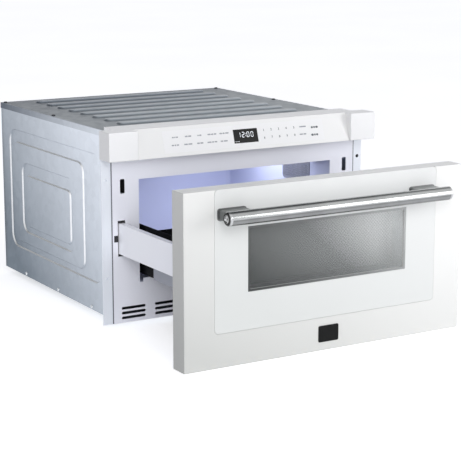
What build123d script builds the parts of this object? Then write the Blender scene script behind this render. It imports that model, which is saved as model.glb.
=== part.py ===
from build123d import *
from math import acos, cos, pi, radians, sin, sqrt, tan
import os

# Microwave drawer, 24-inch class. Millimetres. X runs to the right, Y to the back, Z up.
# The origin is the centre of the underside, where the body stands on its cabinet shelf.
# The drawer is drawn part of the way out.

# ---------------------------------------------------------------- driving dimensions
SHEET = 1.0                # body sheet steel
RUN = 0.4                  # running clearance beside sliding parts
FIT = 0.2                  # clearance round a seated part

# Body
FRONT_WIDTH = 606.0        # control panel and drawer front
FRONT_OVERHANG = 30.0      # front past a side panel
BODY_DEPTH = 550.0         # face of the front frame to the back panel
BODY_HEIGHT = 367.0        # underside to the top cover
BODY_WIDTH = FRONT_WIDTH - 2 * FRONT_OVERHANG
SIDE_X = BODY_WIDTH / 2
SIDE_IN = SIDE_X - SHEET
FRAME_Y = -BODY_DEPTH / 2
BACK_Y = BODY_DEPTH / 2
TOP_UNDER = BODY_HEIGHT - SHEET

DRAWER_OUT = 280.0         # how far the drawer stands out as drawn
DRAWER_MORE = 100.0        # travel left from there to fully open

# Front frame and mounting flanges
FRAME_SHEET = 1.2
FRAME_LAP = 5.0            # frame past a side panel
FRAME_DROP = 4.0           # frame below the underside
FRAME_BACK = FRAME_Y + FRAME_SHEET
FLANGE_WIDTH = 27.0
FLANGE_SHEET = 1.5
FLANGE_STOP = 17.0         # flange below the top cover
FLANGE_LEG = 20.0          # leg along the side panel
HOLE_EDGE = 10.0           # hole's centre in from the flange's edge
HOLE_LOW = 87.0
HOLE_DOWN = 72.0           # upper hole below the flange's top
HOLE_RADIUS = 2.5
FRAME_WIDTH = BODY_WIDTH + 2 * FRAME_LAP
FLANGE_REACH = SIDE_X + FLANGE_WIDTH
FLANGE_TOP = BODY_HEIGHT - FLANGE_STOP

# Oven cavity and its opening
CAVITY_SIDE = 51.0         # side panel's face to the cavity
CAVITY_FLOOR = 74.0
CAVITY_HEADROOM = 87.0     # over the cavity, to the top cover's face
CAVITY_END = 142.0         # behind the cavity, to the back panel's face
CAVITY_SHEET = 1.0
CAVITY_RADIUS = 10.0
OPENING_LAP = 1.0          # frame over the cavity's edge at the sides
OPENING_SILL = 6.0
OPENING_HEAD = 5.0
CORNER_NOTCH = 8.0         # relief at the lower corners of the opening
CAVITY_X = SIDE_X - CAVITY_SIDE
CAVITY_TOP = BODY_HEIGHT - CAVITY_HEADROOM
CAVITY_BACK = BACK_Y - CAVITY_END
OPENING_X = CAVITY_X - OPENING_LAP
OPENING_BOTTOM = CAVITY_FLOOR + OPENING_SILL
OPENING_TOP = CAVITY_TOP - OPENING_HEAD

# Control panel
PANEL_HEIGHT = 55.0
PANEL_RISE = 6.8           # panel top over the top cover
PANEL_WALL = 2.0
PANEL_LIP = 40.0           # white top behind the frame face
TRIM_WIDTH = 60.6
TRIM_EDGE = 1.5            # rounding of the end trims
FASCIA_THICKNESS = 3.0
FASCIA_TOP_BACK = 21.0     # the fascia leans back: set-back of its top edge
FASCIA_FOOT_BACK = 4.0     # and of its foot
DISPLAY_WIDTH = 55.0
DISPLAY_HEIGHT = 27.0
DISPLAY_DOWN = 28.3        # display's centre below the panel's top

# Drawer front
DOOR_THICKNESS = 39.0
SEAL_GAP = 3.0             # closed drawer front to the frame
SEAL_CLEARANCE = 0.8       # choke cover to the frame when closed
DOOR_GAP = 13.0            # under the control panel
DOOR_DROP = 14.6           # below the underside
DOOR_WALL = 2.0
DOOR_EDGE = 1.2
STILE_WIDTH = 61.4
RAIL_RISE = 62.4           # height of the bottom rail
INLAY_THICKNESS = 4.0
INLAY_RADIUS = 8.0
INLAY_SEAM = 0.5
WINDOW_SIDE = 130.0        # end of the front to the window
WINDOW_FOOT = 69.2         # over the bottom rail
WINDOW_HEAD = 70.3         # under the top of the front
WINDOW_LEDGE = 4.0         # what the pane rests on, all round
PANE_RECESS = 0.5
SCREEN_SHEET = 0.8
SCREEN_LAP = 12.0
INNER_PLATE = 1.5
CHOKE_LAP = 15.0           # choke cover past the opening, each side
CHOKE_LAP_TOP = 13.0
CHOKE_LAP_FOOT = 18.0
CHOKE_CORNER = 10.0
CHOKE_LIP = 10.0           # cover below the top of the opening
BADGE_WIDTH = 44.0
BADGE_HEIGHT = 31.0
BADGE_THICKNESS = 1.0
BADGE_RISE = 31.6          # badge's centre over the foot of the front
BADGE_CORNER = 1.0

# Handle
BAR_RADIUS = 12.75
BAR_INSET = 67.5           # end of the front to the bar's end
BAR_DOWN = 43.8            # centre line below the top of the front
BAR_STANDOFF = 41.0        # drawer front to the bar's centre line
CAP_LENGTH = 6.0
CAP_BEVEL = 2.5
CAP_DISH = 7.0
DISH_DEPTH = 1.5
POST_WIDTH = 58.0
POST_HEIGHT = 22.0
POST_INSET = 28.5          # bar's end to a post's centre
POST_FOOT = 3.0
POST_STEP = 2.0            # foot wider than the post, all round
POST_CORNER = 5.0          # foot's corners

# Drawer inside
ARM_INSET = 8.0            # side panel's face to an arm's outer face
ARM_DEPTH = 12.0
ARM_SHEET = 1.5
ARM_RISE = 59.5            # over the cavity's floor
ARM_HEIGHT = 59.0
ARM_TAIL = 87.0            # arm left inside the body when fully open
PAN_PLAY = 7.3             # opening to the pan, each side
PAN_RISE = 8.0             # over the sill
PAN_HEIGHT = 97.0
PAN_BACK_HEIGHT = 54.0     # the back wall is cut down
PAN_END_GAP = 8.0          # behind the pan when closed
PAN_SHEET = 1.2
PAN_RADIUS = 8.0
TRAY_MARGIN = 7.0
TRAY_THICKNESS = 6.0
TRAY_CORNER = 6.0
RAIL_SHEET = 1.5
RAIL_HEIGHT = 25.0
RAIL_FOOT = 15.0
RAIL_LENGTH = 237.0
ARM_OUTER = SIDE_X - ARM_INSET
ARM_IN = ARM_OUTER - ARM_SHEET
ARM_BOTTOM = CAVITY_FLOOR + ARM_RISE

# Slides
SLIDE_HEIGHT = 45.0
SLIDE_SHEET = 1.2
SLIDE_STOP = 80.0          # behind the rails, to the back panel
SLIDE_FLANGE = 8.0
SLIDE_START = 4.0          # inner rail behind the drawer front
BRACKET_HEIGHT = 36.0
BRACKET_LENGTH = 40.0
BRACKET_SHEET = 1.5
BRACKET_STARTS = (15.0, 330.0)
NOTCH_PLAY = 2.0           # frame notch round an arm, side to side
NOTCH_OVER = 5.5           # and above and below it
KEY_NOTCH = 8.0            # small notch beside the arm
KEY_HEIGHT = 13.0
SLIDE_Z = ARM_BOTTOM + ARM_HEIGHT / 2
RAIL_X = ARM_OUTER - ARM_DEPTH - NOTCH_PLAY + SLIDE_SHEET / 2
SLIDE_BACK = BACK_Y - SLIDE_STOP

# Latches
LATCH_INSET = 17.0         # side panel's face to a latch
SLOT_WIDTH = 10.0
SLOT_DOWN = 25.0           # slot's foot below the opening's top
SLOT_HEIGHT = 28.0
SLOT_CORNER = 2.5
HOOK_THICKNESS = 6.0
HOOK_REACH = 24.0          # behind the drawer front
HOOK_HEIGHT = 9.0
HOOK_BARB = 4.0
HOOK_PIN_RADIUS = 2.0
HOOK_PIN_DEPTH = 12.0      # pin in front of the inner plate
HOOK_EYE = 4.0             # round the pin
HOOK_LEAD = 3.0            # lead-in at the hook's tip
HOOK_LIFT = 1.0            # hook over the middle of its slot
BARB_BACK = 9.0
BARB_FRONT = 5.0
HOOK_UNDER = 1.5           # cut-out under and over a hook
HOOK_OVER = 5.0
HOOK_PLAY = 0.3
EAR_THICKNESS = 2.0
EAR_SIZE = 9.0
SWITCH_SIZE = (16.0, 28.0, 26.0)
SWITCH_TAB = 8.0
TAB_SHEET = 2.0
LATCH_X = SIDE_X - LATCH_INSET
SLOT_BOTTOM = OPENING_TOP - SLOT_DOWN

# Rack and pinion
GEAR_MODULE = 1.5
PINION_TEETH = 18
GEAR_PRESSURE = 20.0
GEAR_ROOT = 1.25           # tooth root, in modules
RACK_PITCH_X = 6.0         # the rack's pitch line
GEAR_FACE = 10.0
GEAR_BACKLASH = 0.25
RACK_BACK = 10.0           # bar behind the teeth
RACK_DOWN = 30.0           # rack's foot below the cavity's floor
RACK_TAIL = 20.0           # rack left behind the pinion when fully open
RACK_SLOT_PLAY = 3.0
PINION_BACK = 25.0         # pinion behind the frame face
SHAFT_RADIUS = 3.0
SHAFT_PLAY = 0.05
SHAFT_LENGTH = 12.0        # under the pinion, in the gearbox
MOTOR_WIDTH = 46.0
GUIDE_LENGTH = 30.0
GUIDE_WALL = 8.0
GUIDE_LIP = 2.0
GUIDE_ROOF = 3.0
DRIVE_CAN_RADIUS = 17.0
DRIVE_CAN_LENGTH = 49.0
DRIVE_CAN_RISE = 1.0       # over the base pan
PITCH_RADIUS = GEAR_MODULE * PINION_TEETH / 2
TOOTH_PITCH = pi * GEAR_MODULE
TOOTH_TIP = RACK_PITCH_X + GEAR_MODULE
TOOTH_ROOT = RACK_PITCH_X - GEAR_ROOT * GEAR_MODULE
RACK_Z = CAVITY_FLOOR - RACK_DOWN
PINION_X = RACK_PITCH_X + PITCH_RADIUS
PINION_Y = FRAME_Y + PINION_BACK

# Vents and pressings
VENT_WIDTH = 52.0
VENT_SLOT = 5.5
VENT_PITCH = 9.6
VENT_ROWS = 3
VENT_BOTTOM = 3.0
VENT_INSETS = (38.0, 110.5, 183.0)
RIB_COUNT = 9
RIB_PITCH = 56.2
RIB_WIDTH = 22.0
RIB_RISE = 3.0
RIB_END = 9.9              # rounding at a rib's ends
RIB_INSET = 63.0           # side panel to a rib's end
FIRST_RIB = 55.0           # behind the frame face
SKIRT = 12.0
PRESS_DEPTH = 2.5
PRESS_TAPER = 45.0

# Parts over, beside and behind the cavity
DOME_WIDTH = 170.0
DOME_RISE = 20.0
DOME_FLANGE = 8.0
STIRRER_BACK = 215.0       # stirrer behind the frame face
STIRRER_RADIUS = 75.0
GUIDE_WIDTH = 90.0         # waveguide
GUIDE_HEIGHT = 30.0
GUIDE_SHEET = 1.2
GUIDE_PORT = 34.2          # radius of the port over the stirrer
MAGNETRON_AHEAD = 85.0     # in front of the back panel's face
MAGNETRON_SIZE = (95.0, 80.0, 84.0)
ANTENNA_RADIUS = 9.0
FAN_SIZE = 120.0
FAN_DEPTH = 38.0
FAN_INSET = 123.0          # side panel's face to the fan's axis
FAN_RADIUS = 54.0
FAN_TIP = 2.0
GRILLE_LENGTH = 104.0
GRILLE_HEIGHT = 52.0
GRILLE_FRONT = 75.0        # behind the frame face
GRILLE_DOWN = 62.0         # foot below the opening's top
GRILLE_HOLE = 1.5
GRILLE_PITCH = 5.0
GRILLE_CORNER = 9.0
GRILLE_LAP = 4.0

# ---------------------------------------------------------------- places worked out
PANEL_TOP = BODY_HEIGHT + PANEL_RISE
PANEL_BOTTOM = PANEL_TOP - PANEL_HEIGHT
PANEL_DEPTH = DOOR_THICKNESS + SEAL_GAP
PANEL_FRONT = FRAME_Y - PANEL_DEPTH
TRIM_IN = FRONT_WIDTH / 2 - TRIM_WIDTH
DOOR_FRONT = PANEL_FRONT - DRAWER_OUT
DOOR_BACK = DOOR_FRONT + DOOR_THICKNESS
DOOR_TOP = PANEL_BOTTOM - DOOR_GAP
DOOR_FOOT = -DOOR_DROP
RAIL_TOP = DOOR_FOOT + RAIL_RISE
INLAY_WIDTH = FRONT_WIDTH - 2 * STILE_WIDTH
PLATE_FRONT = DOOR_BACK - INNER_PLATE
CHOKE_THICKNESS = SEAL_GAP - SEAL_CLEARANCE
WINDOW_X = FRONT_WIDTH / 2 - WINDOW_SIDE
WINDOW_BOTTOM = RAIL_TOP + WINDOW_FOOT
WINDOW_TOP = DOOR_TOP - WINDOW_HEAD
BAR_LENGTH = FRONT_WIDTH - 2 * BAR_INSET
BAR_Z = DOOR_TOP - BAR_DOWN
POST_X = BAR_LENGTH / 2 - POST_INSET
ARM_LENGTH = FRAME_Y - DOOR_BACK + DRAWER_MORE + ARM_TAIL
RACK_LENGTH = PINION_Y - DOOR_BACK + DRAWER_MORE + RACK_TAIL
PAN_X = OPENING_X - PAN_PLAY
PAN_BOTTOM = OPENING_BOTTOM + PAN_RISE
PAN_BACK = CAVITY_BACK - PAN_END_GAP - DRAWER_OUT
DOME_TOP = CAVITY_TOP + CAVITY_SHEET + DOME_RISE
GUIDE_TOP = DOME_TOP + GUIDE_HEIGHT
STIRRER_Y = FRAME_Y + STIRRER_BACK
MAGNETRON_Y = BACK_Y - MAGNETRON_AHEAD
FAN_X = SIDE_X - FAN_INSET
SIDES = (("left", -1), ("right", 1))

os.makedirs("parts", exist_ok=True)


def block(x, y, z, mode=Mode.ADD):
    """A box between two limits on each axis."""
    centre = ((x[0] + x[1]) / 2, (y[0] + y[1]) / 2, (z[0] + z[1]) / 2)
    with Locations(centre):
        Box(abs(x[1] - x[0]), abs(y[1] - y[0]), abs(z[1] - z[0]), mode=mode)


def keep(name, builder):
    """Label a finished piece and write it."""
    builder.part.label = name
    export_step(builder.part, f"parts/{name}.step")


# ---------------------------------------------------------------- body sheets
SCREW_HEAD = 4.0
SCREW_RISE = 2.0
SCREW_SHANK = 1.6
SCREW_HOLE = SCREW_SHANK + FIT / 2
SCREW_LENGTH = 4.0
TOP_SCREW_X = SIDE_X - 7.0
TOP_SCREW_YS = (FRAME_Y + 288.0, BACK_Y - 9.0)
SIDE_SCREW_YS = (FRAME_Y + 108.0, FRAME_Y + 268.0, BACK_Y - 117.0)
SIDE_SCREW_Z = 6.0
FLOOR_FLANGE = 12.0

with BuildPart() as base_pan:
    block((-SIDE_IN, SIDE_IN), (FRAME_BACK, BACK_Y - SHEET), (0, SHEET))
    for side in (-1, 1):
        edge = side * SIDE_IN
        block((edge - side * SHEET, edge), (FRAME_BACK, BACK_Y - SHEET), (0, FLOOR_FLANGE))
        for y in SIDE_SCREW_YS:
            with Locations(Location((edge, y, SIDE_SCREW_Z), (0, 90, 0))):
                Cylinder(SCREW_HOLE, 4 * SHEET, mode=Mode.SUBTRACT)
keep("base_pan", base_pan)

# Pressings in a side panel, each set in from the frame face, the back, the underside and the top,
# with its corner radius: a moat lies between the outer and the inner outline of each pair.
PRESS_OUTER = ((60.0, 42.0, 58.0, 50.0, 30.0), (138.0, 60.0, 72.0, 76.0, 24.0))
PRESS_INNER = ((183.0, 105.0, 98.0, 116.0, 26.0), (200.0, 125.0, 112.0, 142.0, 14.0))


def outline(side, insets):
    """A rounded rectangle in the plane of a side panel."""
    front, back, bottom, top, radius = insets
    middle = (FRAME_Y + front + BACK_Y - back) / 2
    with Locations((side * middle, (bottom + BODY_HEIGHT - top) / 2)):
        RectangleRounded(BODY_DEPTH - front - back, BODY_HEIGHT - bottom - top, radius)


def pressed_face(side, x):
    """The solid behind a pressed outer face that lies at x."""
    surface = Plane((x, 0, 0), x_dir=(0, side, 0), z_dir=(side, 0, 0))
    with BuildPart(mode=Mode.PRIVATE) as face:
        block((x, x - side * 4 * PRESS_DEPTH), (FRAME_BACK, BACK_Y), (0, TOP_UNDER))
        for outer, inner in (PRESS_OUTER, PRESS_INNER):
            with BuildSketch(surface):
                outline(side, outer)
            extrude(amount=-PRESS_DEPTH, taper=PRESS_TAPER, mode=Mode.SUBTRACT)
            with BuildSketch(surface.offset(-PRESS_DEPTH)):
                outline(side, inner)
            extrude(amount=PRESS_DEPTH, taper=PRESS_TAPER)
    return face.part


for name, side in SIDES:
    skin = pressed_face(side, side * SIDE_X)
    core = pressed_face(side, side * SIDE_IN)
    with BuildPart() as side_panel:
        add(skin)
        add(core, mode=Mode.SUBTRACT)
        block(
            (side * (SIDE_IN - PRESS_DEPTH - 1), side * (SIDE_X - 5 * PRESS_DEPTH)),
            (FRAME_BACK, BACK_Y),
            (0, TOP_UNDER),
            Mode.SUBTRACT,
        )
        block(
            (side * SIDE_IN, side * (SIDE_IN - SKIRT)),
            (FRAME_BACK, BACK_Y - SHEET),
            (TOP_UNDER - SHEET, TOP_UNDER),
        )
        for y in TOP_SCREW_YS:
            with Locations((side * TOP_SCREW_X, y, TOP_UNDER)):
                Cylinder(SCREW_HOLE, 4 * SHEET, mode=Mode.SUBTRACT)
        for y in SIDE_SCREW_YS:
            with Locations(Location((side * SIDE_X, y, SIDE_SCREW_Z), (0, 90, 0))):
                Cylinder(SCREW_HOLE, 4 * SHEET, mode=Mode.SUBTRACT)
    keep(f"{name}_side_panel", side_panel)

with BuildPart() as top_cover:
    reach = SIDE_X + SHEET
    block((-reach, reach), (FRAME_BACK, BACK_Y + SHEET), (TOP_UNDER, BODY_HEIGHT))
    for side in (-1, 1):
        block((side * SIDE_X, side * reach), (FLANGE_LEG + FRAME_BACK + FIT, BACK_Y + SHEET),
              (BODY_HEIGHT - SKIRT, BODY_HEIGHT))
    block((-reach, reach), (BACK_Y, BACK_Y + SHEET), (BODY_HEIGHT - SKIRT, BODY_HEIGHT))
    rib_ys = [FRAME_Y + FIRST_RIB + i * RIB_PITCH for i in range(RIB_COUNT)]
    with BuildSketch(Plane.XY.offset(BODY_HEIGHT)) as ribs:
        with Locations([(0, y) for y in rib_ys]):
            RectangleRounded(BODY_WIDTH - 2 * RIB_INSET, RIB_WIDTH, RIB_END)
    extrude(ribs.sketch, amount=RIB_RISE, taper=PRESS_TAPER)
    with BuildSketch(Plane.XY.offset(TOP_UNDER)) as hollows:
        with Locations([(0, y) for y in rib_ys]):
            RectangleRounded(BODY_WIDTH - 2 * RIB_INSET, RIB_WIDTH, RIB_END)
    extrude(hollows.sketch, amount=RIB_RISE, taper=PRESS_TAPER, mode=Mode.SUBTRACT)
    for side in (-1, 1):
        for y in TOP_SCREW_YS:
            with Locations((side * TOP_SCREW_X, y, TOP_UNDER)):
                Cylinder(SCREW_HOLE, 4 * SHEET, mode=Mode.SUBTRACT)
keep("top_cover", top_cover)

GLAND_X = 73.0 - SIDE_X
GLAND_Z = 60.0
GLAND_NECK = 9.0
LOUVRE_ROWS = 8
LOUVRE_PITCH = 12.0
LOUVRE_WIDTH = 110.0
LOUVRE_SLOT = 4.0
FAN_STAND = 30.0           # fan over the base pan
FAN_Z = SHEET + FAN_STAND + FAN_SIZE / 2

with BuildPart() as back_panel:
    block((-SIDE_IN, SIDE_IN), (BACK_Y - SHEET, BACK_Y), (0, TOP_UNDER))
    with BuildSketch(Plane.XZ.offset(-BACK_Y)):
        with Locations((FAN_X, FAN_Z)):
            with GridLocations(0, LOUVRE_PITCH, 1, LOUVRE_ROWS):
                SlotOverall(LOUVRE_WIDTH, LOUVRE_SLOT)
        with Locations((GLAND_X, GLAND_Z)):
            Circle(GLAND_NECK + FIT)
    extrude(amount=3 * SHEET, both=True, mode=Mode.SUBTRACT)
keep("back_panel", back_panel)

# ---------------------------------------------------------------- front frame and flanges
NOTCH_OUT = ARM_OUTER + NOTCH_PLAY
NOTCH_IN = ARM_OUTER - ARM_DEPTH - NOTCH_PLAY
NOTCH_HEIGHT = ARM_HEIGHT + 2 * NOTCH_OVER

with BuildPart() as front_frame:
    with BuildSketch(Plane.XZ.offset(-FRAME_BACK)):
        with Locations((0, (TOP_UNDER - FRAME_DROP) / 2)):
            Rectangle(FRAME_WIDTH, TOP_UNDER + FRAME_DROP)
        with Locations((0, (OPENING_BOTTOM + OPENING_TOP) / 2)):
            Rectangle(2 * OPENING_X, OPENING_TOP - OPENING_BOTTOM, mode=Mode.SUBTRACT)
        for side in (-1, 1):
            corner = side * (OPENING_X - CORNER_NOTCH / 2)
            with Locations((corner, OPENING_BOTTOM)):
                Rectangle(CORNER_NOTCH, 2 * CORNER_NOTCH - 1, mode=Mode.SUBTRACT)
            with Locations((side * (NOTCH_IN + NOTCH_OUT) / 2, SLIDE_Z)):
                Rectangle(NOTCH_OUT - NOTCH_IN, NOTCH_HEIGHT, mode=Mode.SUBTRACT)
            with Locations((side * (NOTCH_OUT + KEY_NOTCH / 2), SLIDE_Z)):
                Rectangle(KEY_NOTCH, KEY_HEIGHT, mode=Mode.SUBTRACT)
            with Locations((side * LATCH_X, SLOT_BOTTOM + SLOT_HEIGHT / 2)):
                RectangleRounded(SLOT_WIDTH, SLOT_HEIGHT, SLOT_CORNER, mode=Mode.SUBTRACT)
            for inset in VENT_INSETS:
                for row in range(VENT_ROWS):
                    with Locations((side * (SIDE_X - inset), VENT_BOTTOM + VENT_SLOT / 2 + row * VENT_PITCH)):
                        SlotOverall(VENT_WIDTH, VENT_SLOT, mode=Mode.SUBTRACT)
        with Locations(((TOOTH_ROOT - RACK_BACK + TOOTH_TIP) / 2, RACK_Z + GEAR_FACE / 2)):
            Rectangle(TOOTH_TIP - TOOTH_ROOT + RACK_BACK + 2 * RACK_SLOT_PLAY,
                      GEAR_FACE + 2 * RACK_SLOT_PLAY, mode=Mode.SUBTRACT)
    extrude(amount=FRAME_SHEET)
keep("front_frame", front_frame)

for name, side in SIDES:
    with BuildPart() as flange:
        back = FRAME_BACK + FLANGE_SHEET
        block((side * SIDE_X, side * FLANGE_REACH), (FRAME_BACK, back), (-FRAME_DROP, FLANGE_TOP))
        block((side * SIDE_X, side * (SIDE_X + FLANGE_SHEET)), (FRAME_BACK, FRAME_BACK + FLANGE_LEG),
              (0, FLANGE_TOP))
        for z in (HOLE_LOW, FLANGE_TOP - HOLE_DOWN):
            with Locations(Location((side * (FLANGE_REACH - HOLE_EDGE), back, z), (90, 0, 0))):
                Cylinder(HOLE_RADIUS, 4 * FLANGE_SHEET, mode=Mode.SUBTRACT)
    keep(f"{name}_mounting_flange", flange)

with BuildPart() as case_screws:
    for side in (-1, 1):
        for y in TOP_SCREW_YS:
            with Locations((side * TOP_SCREW_X, y, BODY_HEIGHT + SCREW_RISE / 2)):
                Cylinder(SCREW_HEAD, SCREW_RISE)
            with Locations((side * TOP_SCREW_X, y, BODY_HEIGHT - SCREW_LENGTH / 2)):
                Cylinder(SCREW_SHANK, SCREW_LENGTH)
        for y in SIDE_SCREW_YS:
            with Locations(Location((side * (SIDE_X + SCREW_RISE / 2), y, SIDE_SCREW_Z), (0, 90, 0))):
                Cylinder(SCREW_HEAD, SCREW_RISE)
            with Locations(Location((side * (SIDE_X - SCREW_LENGTH / 2), y, SIDE_SCREW_Z), (0, 90, 0))):
                Cylinder(SCREW_SHANK, SCREW_LENGTH)
keep("case_screws", case_screws)

# ---------------------------------------------------------------- oven cavity
LAMP_Y = FRAME_Y + GRILLE_FRONT + GRILLE_LENGTH / 2
LAMP_Z = OPENING_TOP - GRILLE_DOWN + GRILLE_HEIGHT / 2

with BuildPart() as oven_cavity:
    out = CAVITY_X + CAVITY_SHEET
    block((-out, out), (FRAME_BACK, CAVITY_BACK + CAVITY_SHEET),
          (CAVITY_FLOOR - CAVITY_SHEET, CAVITY_TOP + CAVITY_SHEET))
    upright = oven_cavity.edges().filter_by(Axis.Z).group_by(Axis.Y)[-1]
    fillet(upright, CAVITY_RADIUS + CAVITY_SHEET)
    with BuildPart(mode=Mode.PRIVATE) as room:
        block((-CAVITY_X, CAVITY_X), (FRAME_BACK, CAVITY_BACK), (CAVITY_FLOOR, CAVITY_TOP))
        fillet(room.edges().filter_by(Axis.Z).group_by(Axis.Y)[-1], CAVITY_RADIUS)
    add(room.part, mode=Mode.SUBTRACT)
    half = DOME_WIDTH / 2
    block((-half, half), (STIRRER_Y - half, STIRRER_Y + half),
          (CAVITY_TOP - 1, CAVITY_TOP + 2 * CAVITY_SHEET), Mode.SUBTRACT)
    half_y = GRILLE_LENGTH / 2 - GRILLE_LAP
    half_z = GRILLE_HEIGHT / 2 - GRILLE_LAP
    grille_y = (LAMP_Y - half_y, LAMP_Y + half_y)
    grille_z = (LAMP_Z - half_z, LAMP_Z + half_z)
    block((CAVITY_X - 2, out + 2), grille_y, grille_z, Mode.SUBTRACT)
keep("oven_cavity", oven_cavity)

with BuildPart() as air_grille:
    grille_plane = Plane((CAVITY_X - SHEET, LAMP_Y, LAMP_Z), x_dir=(0, 1, 0), z_dir=(1, 0, 0))
    with BuildSketch(grille_plane):
        RectangleRounded(GRILLE_LENGTH, GRILLE_HEIGHT, GRILLE_CORNER)
        across = int((GRILLE_LENGTH - 3 * GRILLE_LAP) / GRILLE_PITCH)
        down = int((GRILLE_HEIGHT - 3 * GRILLE_LAP) / GRILLE_PITCH)
        with GridLocations(GRILLE_PITCH, GRILLE_PITCH, across, down):
            Circle(GRILLE_HOLE, mode=Mode.SUBTRACT)
    extrude(amount=SHEET)
keep("air_grille", air_grille)

LAMP_WALL = 2.0
LAMP_DEPTH = 24.0
LAMP_RIM = 2.0
SOCKET_RADIUS = 9.0
SOCKET_LENGTH = 11.0
BULB_RADIUS = 8.5

with BuildPart() as cavity_lamp:
    face = CAVITY_X + CAVITY_SHEET
    half_y = GRILLE_LENGTH / 2
    half_z = GRILLE_HEIGHT / 2
    block((face, face + LAMP_WALL), (LAMP_Y - half_y, LAMP_Y + half_y), (LAMP_Z - half_z, LAMP_Z + half_z))
    case_y = half_y - LAMP_RIM
    case_z = half_z - LAMP_RIM
    block((face, face + LAMP_DEPTH), (LAMP_Y - case_y, LAMP_Y + case_y), (LAMP_Z - case_z, LAMP_Z + case_z))
    room_y = case_y - LAMP_WALL
    room_z = case_z - LAMP_WALL
    block((face - 1, face + LAMP_DEPTH - LAMP_WALL), (LAMP_Y - room_y, LAMP_Y + room_y),
          (LAMP_Z - room_z, LAMP_Z + room_z), Mode.SUBTRACT)
    socket_x = face + LAMP_DEPTH - LAMP_WALL
    with Locations(Location((socket_x - SOCKET_LENGTH / 2 + 0.5, LAMP_Y, LAMP_Z), (0, 90, 0))):
        Cylinder(SOCKET_RADIUS, SOCKET_LENGTH)
    with Locations((socket_x - SOCKET_LENGTH + 0.5, LAMP_Y, LAMP_Z)):
        Sphere(BULB_RADIUS)
keep("cavity_lamp", cavity_lamp)

# ---------------------------------------------------------------- waveguide, stirrer, magnetron
COVER_THICKNESS = 1.5
COVER_LAP = 8.0
COVER_CORNER = 12.0

with BuildPart() as waveguide_cover:
    side_length = DOME_WIDTH + 2 * COVER_LAP
    with Locations((0, STIRRER_Y, CAVITY_TOP - COVER_THICKNESS / 2)):
        Box(side_length, side_length, COVER_THICKNESS)
    fillet(waveguide_cover.edges().filter_by(Axis.Z), COVER_CORNER)
keep("waveguide_cover", waveguide_cover)

GUIDE_FRONT = STIRRER_Y - GUIDE_WIDTH / 2
GUIDE_BACK = MAGNETRON_Y + GUIDE_WIDTH / 2
STIRRER_SHAFT = 4.0
PORT_PLAY = 1.0            # round the shaft and the antenna

with BuildPart() as waveguide:
    half = DOME_WIDTH / 2
    foot = CAVITY_TOP + CAVITY_SHEET
    wide = half + DOME_FLANGE
    block((-wide, wide), (STIRRER_Y - wide, STIRRER_Y + wide), (foot, foot + CAVITY_SHEET))
    block((-half, half), (STIRRER_Y - half, STIRRER_Y + half), (foot, DOME_TOP))
    inner = half - CAVITY_SHEET
    block((-inner, inner), (STIRRER_Y - inner, STIRRER_Y + inner), (foot, DOME_TOP - CAVITY_SHEET),
          Mode.SUBTRACT)
    half = GUIDE_WIDTH / 2
    block((-half, half), (GUIDE_FRONT, GUIDE_BACK), (DOME_TOP, GUIDE_TOP))
    block((-half + GUIDE_SHEET, half - GUIDE_SHEET), (GUIDE_FRONT + GUIDE_SHEET, GUIDE_BACK - GUIDE_SHEET),
          (DOME_TOP + GUIDE_SHEET, GUIDE_TOP - GUIDE_SHEET), Mode.SUBTRACT)
    with Locations((0, STIRRER_Y, DOME_TOP)):
        Cylinder(GUIDE_PORT, 4 * GUIDE_SHEET, mode=Mode.SUBTRACT)
    with Locations((0, STIRRER_Y, GUIDE_TOP)):
        Cylinder(STIRRER_SHAFT + PORT_PLAY, 4 * GUIDE_SHEET, mode=Mode.SUBTRACT)
    with Locations((0, MAGNETRON_Y, DOME_TOP)):
        Cylinder(ANTENNA_RADIUS + PORT_PLAY, 4 * GUIDE_SHEET, mode=Mode.SUBTRACT)
keep("waveguide", waveguide)

MOTOR_RADIUS = 24.0
MOTOR_HEIGHT = 24.0
MOTOR_EAR = 9.0
EAR_WIDTH = 14.0
EAR_SHEET = 2.0
SHAFT_SOCKET = 8.0

with BuildPart() as stirrer_motor:
    with Locations((0, STIRRER_Y, GUIDE_TOP + MOTOR_HEIGHT / 2)):
        Cylinder(MOTOR_RADIUS, MOTOR_HEIGHT)
    with Locations((0, STIRRER_Y, GUIDE_TOP + EAR_SHEET / 2)):
        Box(2 * (MOTOR_RADIUS + MOTOR_EAR), EAR_WIDTH, EAR_SHEET)
    with Locations((0, STIRRER_Y, GUIDE_TOP)):
        Cylinder(STIRRER_SHAFT + SHAFT_PLAY, 2 * SHAFT_SOCKET, mode=Mode.SUBTRACT)
keep("stirrer_motor", stirrer_motor)

STIRRER_HUB = 14.0
STIRRER_HUB_HEIGHT = 8.0
BLADE_COUNT = 4
BLADE_WIDTH = 26.0
BLADE_SHEET = 1.2
BLADE_TILT = 14.0
BLADE_ROOT = 10.0          # where a blade starts, inside the hub

with BuildPart() as stirrer:
    blade_z = CAVITY_TOP + DOME_RISE / 2
    with Locations((0, STIRRER_Y, blade_z)):
        Cylinder(STIRRER_HUB, STIRRER_HUB_HEIGHT)
    top = GUIDE_TOP + SHAFT_SOCKET - RUN
    with Locations((0, STIRRER_Y, (blade_z + top) / 2)):
        Cylinder(STIRRER_SHAFT, top - blade_z)
    with Locations((0, STIRRER_Y, blade_z)):
        with PolarLocations((STIRRER_RADIUS + BLADE_ROOT) / 2, BLADE_COUNT):
            Box(STIRRER_RADIUS - BLADE_ROOT, BLADE_WIDTH, BLADE_SHEET, rotation=(BLADE_TILT, 0, 0))
keep("stirrer", stirrer)

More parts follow.
